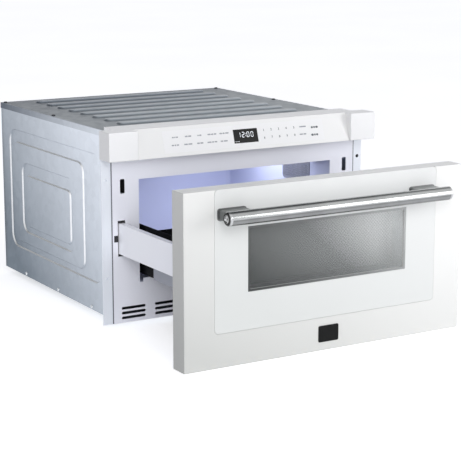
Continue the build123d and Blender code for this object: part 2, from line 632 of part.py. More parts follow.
YOKE_SHEET = 2.0
FILTER_HEIGHT = 24.0       # filter box under the yoke
FILTER_WIDTH = 60.0
ANODE_RADIUS = 20.0
FIN_COUNT = 7
FIN_PITCH = 6.0
FIN_SHEET = 0.8
FIN_INSET = 4.0
TOP_FIN = 12.0
ANTENNA_HEIGHT = 22.0

with BuildPart() as magnetron:
    width, depth, height = MAGNETRON_SIZE
    top = DOME_TOP
    yoke_foot = top - height + FILTER_HEIGHT
    yoke_y = (MAGNETRON_Y - depth / 2, MAGNETRON_Y + depth / 2)
    block((-width / 2, width / 2), yoke_y, (top - YOKE_SHEET, top))
    block((-width / 2, width / 2), yoke_y, (yoke_foot, yoke_foot + YOKE_SHEET))
    for side in (-1, 1):
        block((side * width / 2, side * (width / 2 - YOKE_SHEET)), yoke_y, (yoke_foot, top))
    with Locations((0, MAGNETRON_Y, (yoke_foot + top) / 2)):
        Cylinder(ANODE_RADIUS, top - yoke_foot)
    for fin in range(FIN_COUNT):
        with Locations((0, MAGNETRON_Y, top - TOP_FIN - fin * FIN_PITCH)):
            Box(width - YOKE_SHEET, depth - 2 * FIN_INSET, FIN_SHEET)
    half = FILTER_WIDTH / 2
    block((-half, half), (MAGNETRON_Y - half, MAGNETRON_Y + half), (top - height, yoke_foot))
    with Locations((0, MAGNETRON_Y, top + ANTENNA_HEIGHT / 2)):
        Cylinder(ANTENNA_RADIUS, ANTENNA_HEIGHT)
keep("magnetron", magnetron)

# ---------------------------------------------------------------- power parts on the base pan
CORE_SIZE = (100.0, 64.0, 84.0)
CORE_X = 133.0 - SIDE_X
CORE_Y = BACK_Y - 75.0
CORE_LEG = 24.0
COIL_OVERHANG = 16.0
COIL_CORNER = 10.0
LOW_COIL = 25.2            # primary
HIGH_COIL = 30.0           # secondary
CORE_FOOT = 10.0
FOOT_SHEET = 2.0

with BuildPart() as transformer_core:
    width, depth, height = CORE_SIZE
    block((CORE_X - width / 2, CORE_X + width / 2), (CORE_Y - depth / 2, CORE_Y + depth / 2),
          (SHEET, SHEET + height))
    for side in (-1, 1):
        near = CORE_X + side * CORE_LEG / 2
        far = CORE_X + side * (width / 2 - CORE_LEG / 2)
        block((near, far), (CORE_Y - depth / 2 - 1, CORE_Y + depth / 2 + 1),
              (SHEET + CORE_LEG / 2, SHEET + height - CORE_LEG / 2), Mode.SUBTRACT)
    for side in (-1, 1):
        block((CORE_X - width / 2, CORE_X + width / 2),
              (CORE_Y + side * depth / 2, CORE_Y + side * (depth / 2 + CORE_FOOT)),
              (SHEET, SHEET + FOOT_SHEET))
keep("transformer_core", transformer_core)

with BuildPart() as transformer_windings:
    low = SHEET + CORE_LEG / 2
    high = SHEET + CORE_SIZE[2] - CORE_LEG / 2
    reach = CORE_SIZE[0] / 2 - CORE_LEG / 2 - FIT
    deep = CORE_SIZE[1] / 2 + COIL_OVERHANG
    for bottom, top in ((low, low + LOW_COIL), (high - HIGH_COIL, high)):
        block((CORE_X - reach, CORE_X + reach), (CORE_Y - deep, CORE_Y + deep), (bottom, top))
    fillet(transformer_windings.edges().filter_by(Axis.Z), COIL_CORNER)
    block((CORE_X - CORE_LEG / 2 - FIT, CORE_X + CORE_LEG / 2 + FIT),
          (CORE_Y - CORE_SIZE[1] / 2 - FIT, CORE_Y + CORE_SIZE[1] / 2 + FIT), (0, high + 1), Mode.SUBTRACT)
keep("transformer_windings", transformer_windings)

CAPACITOR_X = CORE_X + 110.0
CAPACITOR_Y = BACK_Y - 60.0
CAPACITOR_SIZE = (52.0, 32.0, 92.0)
TAG_SIZE = (6.0, 1.0, 10.0)
TAG_SPAN = 22.0
STRAP_LENGTH = 80.0
STRAP_WIDTH = 16.0
STRAP_SHEET = 2.0

with BuildPart() as hv_capacitor:
    width, depth, height = CAPACITOR_SIZE
    with BuildSketch(Plane.XY.offset(SHEET)):
        with Locations((CAPACITOR_X, CAPACITOR_Y)):
            SlotOverall(width, depth)
    extrude(amount=height)
    for side in (-1, 1):
        with Locations((CAPACITOR_X + side * TAG_SPAN / 2, CAPACITOR_Y, SHEET + height + TAG_SIZE[2] / 2)):
            Box(*TAG_SIZE)
    block((CAPACITOR_X - STRAP_LENGTH / 2, CAPACITOR_X + STRAP_LENGTH / 2),
          (CAPACITOR_Y - STRAP_WIDTH / 2, CAPACITOR_Y + STRAP_WIDTH / 2), (SHEET, SHEET + STRAP_SHEET))
keep("hv_capacitor", hv_capacitor)

# ---------------------------------------------------------------- cooling fan
FAN_BACK = BACK_Y - SHEET
FAN_FRONT = FAN_BACK - FAN_DEPTH
FAN_HUB = 17.0
FAN_BORE = FAN_RADIUS + FAN_TIP
FAN_AXLE = 2.5
FAN_MOTOR_DEPTH = 14.0
FAN_AXLE_END = 6.0         # axle's end behind the front of the motor
STRUT_SIZE = (3.0, 6.0)
STRUT_COUNT = 4
FAN_BLADES = 7
FAN_BLADE_SHEET = 1.6
FAN_BLADE_CHORD = 22.0
FAN_BLADE_TILT = 35.0
FAN_FOOT_WALL = 4.0

with BuildPart() as fan_housing:
    half = FAN_SIZE / 2
    block((FAN_X - half, FAN_X + half), (FAN_FRONT, FAN_BACK), (FAN_Z - half, FAN_Z + half))
    with Locations(Location((FAN_X, (FAN_FRONT + FAN_BACK) / 2, FAN_Z), (90, 0, 0))):
        Cylinder(FAN_BORE, FAN_DEPTH + 2, mode=Mode.SUBTRACT)
    for turn in range(STRUT_COUNT):
        with BuildPart(mode=Mode.PRIVATE) as strut:
            with Locations(((FAN_HUB + FAN_BORE + 1) / 2, 0, 0)):
                Box(FAN_BORE + 1 - FAN_HUB, STRUT_SIZE[0], STRUT_SIZE[1])
        place = Location((FAN_X, FAN_FRONT + STRUT_SIZE[0] / 2, FAN_Z), (0, 45 + 360 / STRUT_COUNT * turn, 0))
        add(strut.part.moved(place))
    block((FAN_X - half, FAN_X + half), (FAN_FRONT, FAN_BACK), (SHEET, FAN_Z - half))
    block((FAN_X - half + FAN_FOOT_WALL, FAN_X + half - FAN_FOOT_WALL), (FAN_FRONT - 1, FAN_BACK + 1),
          (SHEET + FAN_FOOT_WALL, FAN_Z - half - FAN_FOOT_WALL), Mode.SUBTRACT)
keep("fan_housing", fan_housing)

with BuildPart() as fan_motor:
    middle = FAN_FRONT + FAN_MOTOR_DEPTH / 2
    with Locations(Location((FAN_X, middle, FAN_Z), (90, 0, 0))):
        Cylinder(FAN_HUB, FAN_MOTOR_DEPTH)
    socket = FAN_FRONT + FAN_AXLE_END - RUN
    block_end = FAN_FRONT + FAN_MOTOR_DEPTH + 1
    with Locations(Location((FAN_X, (socket + block_end) / 2, FAN_Z), (90, 0, 0))):
        Cylinder(FAN_AXLE + SHAFT_PLAY, block_end - socket, mode=Mode.SUBTRACT)
keep("fan_motor", fan_motor)

with BuildPart() as fan_impeller:
    front = FAN_FRONT + FAN_MOTOR_DEPTH + RUN
    back = FAN_BACK - FAN_FOOT_WALL
    middle = (front + back) / 2
    with Locations(Location((FAN_X, middle, FAN_Z), (90, 0, 0))):
        Cylinder(FAN_HUB, back - front)
    tip = FAN_FRONT + FAN_AXLE_END
    with Locations(Location((FAN_X, (tip + front) / 2, FAN_Z), (90, 0, 0))):
        Cylinder(FAN_AXLE, front - tip)
    for turn in range(FAN_BLADES):
        with BuildPart(mode=Mode.PRIVATE) as blade:
            with Locations(((FAN_HUB + FAN_RADIUS) / 2 - 1, 0, 0)):
                Box(FAN_RADIUS - FAN_HUB, FAN_BLADE_SHEET, FAN_BLADE_CHORD, rotation=(FAN_BLADE_TILT, 0, 0))
        place = Location((FAN_X, middle, FAN_Z), (0, 360 / FAN_BLADES * turn, 0))
        add(blade.part.moved(place))
keep("fan_impeller", fan_impeller)

GLAND_FLANGE = 13.0
GLAND_LENGTH = 12.0
GLAND_TAIL = 8.0           # inside the back panel
CORD_RADIUS = 4.5

with BuildPart() as cord_gland:
    with Locations(Location((GLAND_X, BACK_Y + GLAND_LENGTH / 2, GLAND_Z), (90, 0, 0))):
        Cylinder(GLAND_FLANGE, GLAND_LENGTH)
    with Locations(Location((GLAND_X, BACK_Y - GLAND_TAIL / 2, GLAND_Z), (90, 0, 0))):
        Cylinder(GLAND_NECK, GLAND_TAIL)
    with Locations(Location((GLAND_X, BACK_Y, GLAND_Z), (90, 0, 0))):
        Cylinder(CORD_RADIUS, 4 * GLAND_LENGTH, mode=Mode.SUBTRACT)
keep("cord_gland", cord_gland)

# ---------------------------------------------------------------- control panel
FASCIA_LEAN = FASCIA_TOP_BACK - FASCIA_FOOT_BACK
SLOPE = sqrt(FASCIA_LEAN**2 + PANEL_HEIGHT**2)
FASCIA_FOOT_Y = PANEL_FRONT + FASCIA_FOOT_BACK
FASCIA_HEAD_Y = PANEL_FRONT + FASCIA_TOP_BACK
FASCIA_DEPTH = FASCIA_THICKNESS * SLOPE / PANEL_HEIGHT
FACE_PLANE = Plane(
    origin=(0, FASCIA_FOOT_Y, PANEL_BOTTOM),
    x_dir=(1, 0, 0),
    z_dir=(0, -PANEL_HEIGHT / SLOPE, FASCIA_LEAN / SLOPE),
)


for name, side in SIDES:
    with BuildPart() as trim:
        inner = side * TRIM_IN
        outer = side * FRONT_WIDTH / 2
        block((inner, outer), (PANEL_FRONT, FRAME_Y), (PANEL_BOTTOM, PANEL_TOP))
        rim = trim.edges().group_by(Axis.Y)[0] + trim.edges().filter_by(Axis.Y)
        fillet(rim, TRIM_EDGE)
        block((inner + side * PANEL_WALL, outer - side * PANEL_WALL), (PANEL_FRONT + PANEL_WALL, FRAME_Y),
              (PANEL_BOTTOM + PANEL_WALL, PANEL_TOP - PANEL_WALL), Mode.SUBTRACT)
    keep(f"{name}_end_trim", trim)

with BuildPart() as panel_housing:
    with BuildSketch(Plane.YZ.offset(-TRIM_IN)):
        with BuildLine():
            foot_y = FASCIA_FOOT_Y + FASCIA_DEPTH
            head_y = FASCIA_HEAD_Y + FASCIA_DEPTH
            Polyline((foot_y, PANEL_BOTTOM), (head_y, PANEL_TOP), (FRAME_Y, PANEL_TOP),
                     (FRAME_Y, PANEL_BOTTOM), close=True)
        make_face()
    extrude(amount=2 * TRIM_IN)
    with BuildSketch(Plane.YZ.offset(-TRIM_IN + PANEL_WALL)):
        with BuildLine():
            Polyline((foot_y - 1, PANEL_BOTTOM + PANEL_WALL), (head_y - 1, PANEL_TOP - PANEL_WALL),
                     (FRAME_Y + 1, PANEL_TOP - PANEL_WALL), (FRAME_Y + 1, PANEL_BOTTOM + PANEL_WALL),
                     close=True)
        make_face()
    extrude(amount=2 * (TRIM_IN - PANEL_WALL), mode=Mode.SUBTRACT)
    block((-SIDE_X, SIDE_X), (FRAME_Y, FRAME_Y + PANEL_LIP), (PANEL_TOP - PANEL_WALL, PANEL_TOP))
    block((-SIDE_X, SIDE_X), (FRAME_Y + PANEL_LIP - PANEL_WALL, FRAME_Y + PANEL_LIP),
          (BODY_HEIGHT, PANEL_TOP))
    for side in (-1, 1):
        block((side * (SIDE_X - PANEL_WALL), side * SIDE_X), (FRAME_Y, FRAME_Y + PANEL_LIP),
              (BODY_HEIGHT, PANEL_TOP))
keep("panel_housing", panel_housing)

DISPLAY_UP = (PANEL_HEIGHT - DISPLAY_DOWN) / PANEL_HEIGHT * SLOPE

with BuildPart() as control_fascia:
    with BuildSketch(Plane.YZ.offset(-TRIM_IN + FIT)):
        with BuildLine():
            Polyline((FASCIA_FOOT_Y, PANEL_BOTTOM), (FASCIA_HEAD_Y, PANEL_TOP),
                     (FASCIA_HEAD_Y + FASCIA_DEPTH, PANEL_TOP), (FASCIA_FOOT_Y + FASCIA_DEPTH, PANEL_BOTTOM),
                     close=True)
        make_face()
    extrude(amount=2 * (TRIM_IN - FIT))
    with BuildSketch(FACE_PLANE):
        with Locations((0, DISPLAY_UP)):
            Rectangle(DISPLAY_WIDTH + 2 * FIT, DISPLAY_HEIGHT + 2 * FIT)
    extrude(amount=2 * FASCIA_THICKNESS, both=True, mode=Mode.SUBTRACT)
keep("control_fascia", control_fascia)

with BuildPart() as display_window:
    with BuildSketch(FACE_PLANE):
        with Locations((0, DISPLAY_UP)):
            Rectangle(DISPLAY_WIDTH, DISPLAY_HEIGHT)
    extrude(amount=-FASCIA_THICKNESS)
keep("display_window", display_window)

BOARD_THICKNESS = 1.6
BOARD_GAP = 0.3
BOARD_MARGIN_X = 30.0
BOARD_MARGIN_Z = 8.0
RELAY_INSETS = (92.4, 122.4)
RELAY_SIZE = (18.0, 20.0, 8.0)

with BuildPart() as control_board:
    with BuildSketch(FACE_PLANE.offset(-FASCIA_THICKNESS - BOARD_GAP)):
        with Locations((0, SLOPE / 2)):
            Rectangle(2 * (TRIM_IN - BOARD_MARGIN_X), PANEL_HEIGHT - 2 * BOARD_MARGIN_Z)
    extrude(amount=-BOARD_THICKNESS)
    with BuildSketch(FACE_PLANE.offset(-FASCIA_THICKNESS - BOARD_GAP - BOARD_THICKNESS)):
        with Locations([(side * (TRIM_IN - x), SLOPE / 2) for x in RELAY_INSETS for side in (-1, 1)]):
            Rectangle(RELAY_SIZE[0], RELAY_SIZE[1])
    extrude(amount=-RELAY_SIZE[2])
keep("control_board", control_board)

# ---------------------------------------------------------------- drawer front
WINDOW_WIDTH = 2 * WINDOW_X
WINDOW_MID = (WINDOW_BOTTOM + WINDOW_TOP) / 2
WINDOW_HEIGHT = WINDOW_TOP - WINDOW_BOTTOM
LEDGE_X = WINDOW_X - WINDOW_LEDGE
LEDGE_Z = (WINDOW_BOTTOM + WINDOW_LEDGE, WINDOW_TOP - WINDOW_LEDGE)
SKIN_BACK = DOOR_FRONT + INLAY_THICKNESS + DOOR_WALL
INLAY_X = INLAY_WIDTH / 2

with BuildPart() as door_frame:
    half = FRONT_WIDTH / 2
    block((-half, half), (DOOR_FRONT, DOOR_BACK), (DOOR_FOOT, DOOR_TOP))
    rim = door_frame.edges().group_by(Axis.Y)[0] + door_frame.edges().filter_by(Axis.Y)
    fillet(rim, DOOR_EDGE)
    in_x = half - DOOR_WALL
    in_z = (DOOR_FOOT + DOOR_WALL, DOOR_TOP - DOOR_WALL)
    block((-in_x, in_x), (SKIN_BACK, DOOR_BACK), in_z, Mode.SUBTRACT)
    for side in (-1, 1):
        block((side * (INLAY_X + DOOR_WALL), side * in_x), (DOOR_FRONT + DOOR_WALL, SKIN_BACK), in_z,
              Mode.SUBTRACT)
    block((-in_x, in_x), (DOOR_FRONT + DOOR_WALL, SKIN_BACK), (in_z[0], RAIL_TOP - DOOR_WALL), Mode.SUBTRACT)
    with BuildSketch(Plane.XZ.offset(-DOOR_FRONT)) as recess:
        with BuildLine():
            Polyline((-INLAY_X, DOOR_TOP + 1), (-INLAY_X, RAIL_TOP), (INLAY_X, RAIL_TOP),
                     (INLAY_X, DOOR_TOP + 1), close=True)
        make_face()
        fillet(recess.vertices().group_by(Axis.Z)[0], INLAY_RADIUS)
    extrude(amount=-INLAY_THICKNESS, mode=Mode.SUBTRACT)
    block((-LEDGE_X - DOOR_WALL, LEDGE_X + DOOR_WALL), (SKIN_BACK, PLATE_FRONT - SCREEN_SHEET),
          (LEDGE_Z[0] - DOOR_WALL, LEDGE_Z[1] + DOOR_WALL))
    block((-LEDGE_X, LEDGE_X), (DOOR_FRONT, DOOR_BACK), LEDGE_Z, Mode.SUBTRACT)
keep("door_frame", door_frame)

with BuildPart() as door_panel:
    with BuildSketch(Plane.XZ.offset(-DOOR_FRONT)) as sheet:
        with BuildLine():
            reach = INLAY_X - INLAY_SEAM
            Polyline((-reach, DOOR_TOP), (-reach, RAIL_TOP + INLAY_SEAM), (reach, RAIL_TOP + INLAY_SEAM),
                     (reach, DOOR_TOP), close=True)
        make_face()
        fillet(sheet.vertices().group_by(Axis.Z)[0], INLAY_RADIUS - INLAY_SEAM)
        with Locations((0, WINDOW_MID)):
            Rectangle(WINDOW_WIDTH, WINDOW_HEIGHT, mode=Mode.SUBTRACT)
    extrude(amount=-INLAY_THICKNESS)
keep("door_panel", door_panel)

with BuildPart() as window_pane:
    with BuildSketch(Plane.XZ.offset(-DOOR_FRONT - PANE_RECESS)):
        with Locations((0, WINDOW_MID)):
            Rectangle(WINDOW_WIDTH - 2 * FIT, WINDOW_HEIGHT - 2 * FIT)
    extrude(amount=-(INLAY_THICKNESS - PANE_RECESS))
keep("window_pane", window_pane)

with BuildPart() as window_screen:
    block((-LEDGE_X - SCREEN_LAP, LEDGE_X + SCREEN_LAP), (PLATE_FRONT - SCREEN_SHEET, PLATE_FRONT),
          (LEDGE_Z[0] - SCREEN_LAP, LEDGE_Z[1] + SCREEN_LAP))
keep("window_screen", window_screen)

PIN_Y = PLATE_FRONT - HOOK_PIN_DEPTH
HOOK_Z = SLOT_BOTTOM + SLOT_HEIGHT / 2 + HOOK_LIFT

with BuildPart() as door_inner_plate:
    reach = FRONT_WIDTH / 2 - DOOR_WALL - FIT
    block((-reach, reach), (PLATE_FRONT, DOOR_BACK),
          (DOOR_FOOT + DOOR_WALL + FIT, DOOR_TOP - DOOR_WALL - FIT))
    block((-LEDGE_X, LEDGE_X), (PLATE_FRONT - 1, DOOR_BACK + 1), LEDGE_Z, Mode.SUBTRACT)
    for side in (-1, 1):
        middle = side * LATCH_X
        for ear in (-1, 1):
            near = middle + ear * (HOOK_THICKNESS / 2 + HOOK_PLAY)
            block((near, near + ear * EAR_THICKNESS), (PIN_Y - EAR_SIZE / 2, PLATE_FRONT),
                  (HOOK_Z - EAR_SIZE / 2, HOOK_Z + EAR_SIZE / 2))
        with Locations(Location((middle, PIN_Y, HOOK_Z), (0, 90, 0))):
            Cylinder(HOOK_PIN_RADIUS + SHAFT_PLAY, 4 * HOOK_THICKNESS, mode=Mode.SUBTRACT)
        block((middle - HOOK_THICKNESS / 2 - HOOK_PLAY, middle + HOOK_THICKNESS / 2 + HOOK_PLAY),
              (PLATE_FRONT - 1, DOOR_BACK + 1),
              (HOOK_Z - HOOK_HEIGHT / 2 - HOOK_UNDER, HOOK_Z + HOOK_HEIGHT / 2 + HOOK_OVER), Mode.SUBTRACT)
keep("door_inner_plate", door_inner_plate)

for name, side in SIDES:
    with BuildPart() as hook:
        middle = side * LATCH_X
        low = HOOK_Z - HOOK_HEIGHT / 2
        high = HOOK_Z + HOOK_HEIGHT / 2
        tip = DOOR_BACK + HOOK_REACH
        with BuildSketch(Plane.YZ.offset(middle - HOOK_THICKNESS / 2)):
            with BuildLine():
                Polyline((PIN_Y - HOOK_EYE, low), (tip - BARB_BACK, low), (tip - BARB_BACK, low - HOOK_BARB),
                         (tip - BARB_FRONT, low - HOOK_BARB), (tip, high - HOOK_LEAD), (tip, high),
                         (PIN_Y - HOOK_EYE, high), close=True)
            make_face()
        extrude(amount=HOOK_THICKNESS)
        with Locations(Location((middle, PIN_Y, HOOK_Z), (0, 90, 0))):
            Cylinder(HOOK_PIN_RADIUS, HOOK_THICKNESS + 2 * (HOOK_PLAY + EAR_THICKNESS))
    keep(f"{name}_latch_hook", hook)

with BuildPart() as choke_cover:
    with BuildSketch(Plane.XZ.offset(-DOOR_BACK)):
        low = OPENING_BOTTOM - CHOKE_LAP_FOOT
        high = OPENING_TOP + CHOKE_LAP_TOP
        with Locations((0, (low + high) / 2)):
            RectangleRounded(2 * (OPENING_X + CHOKE_LAP), high - low, CHOKE_CORNER)
        inner_low = PAN_BOTTOM - RAIL_SHEET - RUN
        inner_high = OPENING_TOP - CHOKE_LIP
        with Locations((0, (inner_low + inner_high) / 2)):
            Rectangle(2 * (PAN_X + RAIL_SHEET + RUN), inner_high - inner_low, mode=Mode.SUBTRACT)
    extrude(amount=-CHOKE_THICKNESS)
keep("choke_cover", choke_cover)

with BuildPart() as badge_plate:
    with BuildSketch(Plane.XZ.offset(-DOOR_FRONT)):
        with Locations((0, DOOR_FOOT + BADGE_RISE)):
            RectangleRounded(BADGE_WIDTH, BADGE_HEIGHT, BADGE_CORNER)
    extrude(amount=BADGE_THICKNESS)
keep("badge_plate", badge_plate)

# ---------------------------------------------------------------- handle
BAR_Y = DOOR_FRONT - BAR_STANDOFF

with BuildPart() as handle_bar:
    with Locations(Location((0, BAR_Y, BAR_Z), (0, 90, 0))):
        Cylinder(BAR_RADIUS, BAR_LENGTH)
keep("handle_bar", handle_bar)

with BuildPart() as handle_end_caps:
    for side in (-1, 1):
        middle = side * (BAR_LENGTH + CAP_LENGTH) / 2
        with Locations(Location((middle, BAR_Y, BAR_Z), (0, side * 90, 0))):
            Cylinder(BAR_RADIUS, CAP_LENGTH)
    ends = handle_end_caps.edges().filter_by(GeomType.CIRCLE).group_by(Axis.X)
    chamfer(ends[0] + ends[-1], CAP_BEVEL)
    for side in (-1, 1):
        end = side * (BAR_LENGTH / 2 + CAP_LENGTH)
        with Locations(Location((end, BAR_Y, BAR_Z), (0, 90, 0))):
            Cylinder(CAP_DISH, 2 * DISH_DEPTH, mode=Mode.SUBTRACT)
keep("handle_end_caps", handle_end_caps)

for name, side in SIDES:
    with BuildPart() as post:
        with BuildSketch(Plane.XZ.offset(-DOOR_FRONT)):
            with Locations((side * POST_X, BAR_Z)):
                RectangleRounded(POST_WIDTH, POST_HEIGHT, POST_CORNER)
        extrude(amount=POST_FOOT)
        with BuildSketch(Plane.XZ.offset(-DOOR_FRONT + POST_FOOT)):
            with Locations((side * POST_X, BAR_Z)):
                RectangleRounded(POST_WIDTH - 2 * POST_STEP, POST_HEIGHT - 2 * POST_STEP,
                                 POST_CORNER - POST_STEP)
        extrude(amount=BAR_STANDOFF - POST_FOOT)
        with Locations(Location((side * POST_X, BAR_Y, BAR_Z), (0, 90, 0))):
            Cylinder(BAR_RADIUS, POST_WIDTH + 2, mode=Mode.SUBTRACT)
    keep(f"{name}_handle_post", post)

# ---------------------------------------------------------------- arms and slides
ARM_TOP = ARM_BOTTOM + ARM_HEIGHT
ARM_INNER_EDGE = ARM_OUTER - ARM_DEPTH
MIDDLE_SHIFT = DRAWER_OUT / 2
OUTER_HALF = SLIDE_HEIGHT / 2
MIDDLE_HALF = OUTER_HALF - SLIDE_SHEET - RUN
INNER_HALF = MIDDLE_HALF - SLIDE_SHEET - RUN


def channel(side, web, depth, half, y, sheet):
    """A C-section rail: its web at web, its flanges depth away from it, half its height from SLIDE_Z."""
    web_x = (side * web, side * (web + (sheet if depth > 0 else -sheet)))
    far = side * (web + depth)
    block(web_x, y, (SLIDE_Z - half, SLIDE_Z + half))
    block((side * web, far), y, (SLIDE_Z - half, SLIDE_Z - half + sheet))
    block((side * web, far), y, (SLIDE_Z + half - sheet, SLIDE_Z + half))


for name, side in SIDES:
    with BuildPart() as arm:
        block((side * ARM_IN, side * ARM_OUTER), (DOOR_BACK, DOOR_BACK + ARM_LENGTH), (ARM_BOTTOM, ARM_TOP))
        for z in ((ARM_BOTTOM, ARM_BOTTOM + ARM_SHEET), (ARM_TOP - ARM_SHEET, ARM_TOP)):
            block((side * ARM_INNER_EDGE, side * ARM_OUTER), (DOOR_BACK, DOOR_BACK + ARM_LENGTH), z)
    keep(f"{name}_side_arm", arm)
    with BuildPart() as fixed_rail:
        reach = SLIDE_FLANGE + SLIDE_SHEET
        channel(side, RAIL_X - SLIDE_SHEET / 2, reach, OUTER_HALF, (FRAME_BACK, SLIDE_BACK), SLIDE_SHEET)
        wall = CAVITY_X + CAVITY_SHEET
        seat = RAIL_X - SLIDE_SHEET / 2
        for start in BRACKET_STARTS:
            y = (FRAME_BACK + start, FRAME_BACK + start + BRACKET_LENGTH)
            half = BRACKET_HEIGHT / 2
            block((side * wall, side * (wall + BRACKET_SHEET)), y, (SLIDE_Z - half, SLIDE_Z + half))
            for z in (SLIDE_Z - half, SLIDE_Z + half - BRACKET_SHEET):
                block((side * wall, side * seat), y, (z, z + BRACKET_SHEET))
    keep(f"{name}_slide_rail", fixed_rail)
    with BuildPart() as middle_rail:
        span = (FRAME_BACK - MIDDLE_SHIFT, SLIDE_BACK - MIDDLE_SHIFT)
        channel(side, RAIL_X + SLIDE_SHEET / 2 + RUN, SLIDE_FLANGE, MIDDLE_HALF, span, SLIDE_SHEET)
    keep(f"{name}_slide_middle", middle_rail)
    with BuildPart() as inner_rail:
        span = (DOOR_BACK + SLIDE_START, DOOR_BACK + ARM_LENGTH)
        channel(side, ARM_IN, -SLIDE_FLANGE, INNER_HALF, span, SLIDE_SHEET)
    keep(f"{name}_slide_inner", inner_rail)

# ---------------------------------------------------------------- pan
PAN_TOP = PAN_BOTTOM + PAN_HEIGHT

with BuildPart() as drawer_pan:
    block((-PAN_X, PAN_X), (DOOR_BACK, PAN_BACK), (PAN_BOTTOM, PAN_TOP))
    fillet(drawer_pan.edges().filter_by(Axis.Z).group_by(Axis.Y)[-1], PAN_RADIUS)
    with BuildPart(mode=Mode.PRIVATE) as inside:
        block((-PAN_X + PAN_SHEET, PAN_X - PAN_SHEET), (DOOR_BACK - 1, PAN_BACK - PAN_SHEET),
              (PAN_BOTTOM + PAN_SHEET, PAN_TOP + 1))
        fillet(inside.edges().filter_by(Axis.Z).group_by(Axis.Y)[-1], PAN_RADIUS - PAN_SHEET)
    add(inside.part, mode=Mode.SUBTRACT)
    block((-PAN_X - 1, PAN_X + 1), (PAN_BACK - PAN_RADIUS, PAN_BACK + 1),
          (PAN_BOTTOM + PAN_BACK_HEIGHT, PAN_TOP + 1), Mode.SUBTRACT)
keep("drawer_pan", drawer_pan)

with BuildPart() as glass_tray:
    reach = PAN_X - PAN_SHEET - TRAY_MARGIN
    base = PAN_BOTTOM + PAN_SHEET
    block((-reach, reach), (DOOR_BACK + TRAY_MARGIN, PAN_BACK - PAN_SHEET - TRAY_MARGIN),
          (base, base + TRAY_THICKNESS))
    fillet(glass_tray.edges().filter_by(Axis.Z), TRAY_CORNER)
keep("glass_tray", glass_tray)

for name, side in SIDES:
    with BuildPart() as pan_rail:
        span = (DOOR_BACK, DOOR_BACK + RAIL_LENGTH)
        outer = PAN_X + RAIL_SHEET
        foot = PAN_BOTTOM - RAIL_SHEET
        block((side * PAN_X, side * outer), span, (foot, foot + RAIL_HEIGHT))
        block((side * (outer - RAIL_FOOT), side * outer), span, (foot, PAN_BOTTOM))
    keep(f"{name}_pan_rail", pan_rail)

# ---------------------------------------------------------------- interlock switches
for name, side in SIDES:
    with BuildPart() as switch:
        width, depth, height = SWITCH_SIZE
        near = side * (LATCH_X - SLOT_WIDTH / 2 - RUN)
        block((near, near - side * width), (FRAME_BACK, FRAME_BACK + depth),
              (SLOT_BOTTOM, SLOT_BOTTOM + height))
        block((near, near - side * width), (FRAME_BACK, FRAME_BACK + TAB_SHEET),
              (SLOT_BOTTOM - SWITCH_TAB, SLOT_BOTTOM + height + SWITCH_TAB))
    keep(f"{name}_interlock_switch", switch)

# ---------------------------------------------------------------- rack, pinion and drive motor
FLANK = tan(radians(GEAR_PRESSURE))
RACK_TEETH = int((RACK_LENGTH - 2 * TOOTH_PITCH) / TOOTH_PITCH)
FIRST_TOOTH = PINION_Y - TOOTH_PITCH * int((PINION_Y - DOOR_BACK - TOOTH_PITCH) / TOOTH_PITCH)


def tooth_half_width(x):
    """Half a rack tooth's width at x."""
    return TOOTH_PITCH / 4 - GEAR_BACKLASH / 2 - (x - RACK_PITCH_X) * FLANK


with BuildPart() as drive_rack:
    with BuildSketch(Plane.XY.offset(RACK_Z)):
        with BuildLine():
            points = [(TOOTH_ROOT - RACK_BACK, DOOR_BACK), (TOOTH_ROOT, DOOR_BACK)]
            for number in range(RACK_TEETH):
                y = FIRST_TOOTH + number * TOOTH_PITCH
                root = tooth_half_width(TOOTH_ROOT)
                crest = tooth_half_width(TOOTH_TIP)
                points += [(TOOTH_ROOT, y - root), (TOOTH_TIP, y - crest), (TOOTH_TIP, y + crest),
                           (TOOTH_ROOT, y + root)]
            end = DOOR_BACK + RACK_LENGTH
            points += [(TOOTH_ROOT, end), (TOOTH_ROOT - RACK_BACK, end)]
            Polyline(*points, close=True)
        make_face()
    extrude(amount=GEAR_FACE)
keep("drive_rack", drive_rack)

BASE_RADIUS = PITCH_RADIUS * cos(radians(GEAR_PRESSURE))
TIP_RADIUS = PITCH_RADIUS + GEAR_MODULE
ROOT_RADIUS = PITCH_RADIUS - GEAR_ROOT * GEAR_MODULE


def involute_angle(radius):
    """How far an involute flank has turned from its foot, at a radius."""
    pressure = acos(BASE_RADIUS / radius)
    return tan(pressure) - pressure


def tooth_half_angle(radius):
    """Half the angle that a pinion tooth fills at a radius."""
    at_pitch = (TOOTH_PITCH / 2 - GEAR_BACKLASH) / 2 / PITCH_RADIUS
    reach = max(radius, BASE_RADIUS)
    return at_pitch + involute_angle(PITCH_RADIUS) - involute_angle(reach)


with BuildPart() as drive_pinion:
    with BuildSketch(Plane.XY.offset(RACK_Z + RUN)):
        with BuildLine():
            radii = [ROOT_RADIUS] + [BASE_RADIUS + (TIP_RADIUS - BASE_RADIUS) * i / 4 for i in range(5)]
            points = []
            for number in range(PINION_TEETH):
                # a gap faces the rack, in the -X direction
                centre = pi + 2 * pi * (number + 0.5) / PINION_TEETH
                flank = [(r, -tooth_half_angle(r)) for r in radii]
                flank += [(r, tooth_half_angle(r)) for r in reversed(radii)]
                points += [(PINION_X + r * cos(centre + a), PINION_Y + r * sin(centre + a)) for r, a in flank]
            Polyline(*points, close=True)
        make_face()
    extrude(amount=GEAR_FACE - 2 * RUN)
    shaft_bottom = RACK_Z - SHAFT_LENGTH
    with Locations((PINION_X, PINION_Y, (shaft_bottom + RACK_Z + 1) / 2)):
        Cylinder(SHAFT_RADIUS, RACK_Z + 1 - shaft_bottom)
keep("drive_pinion", drive_pinion)

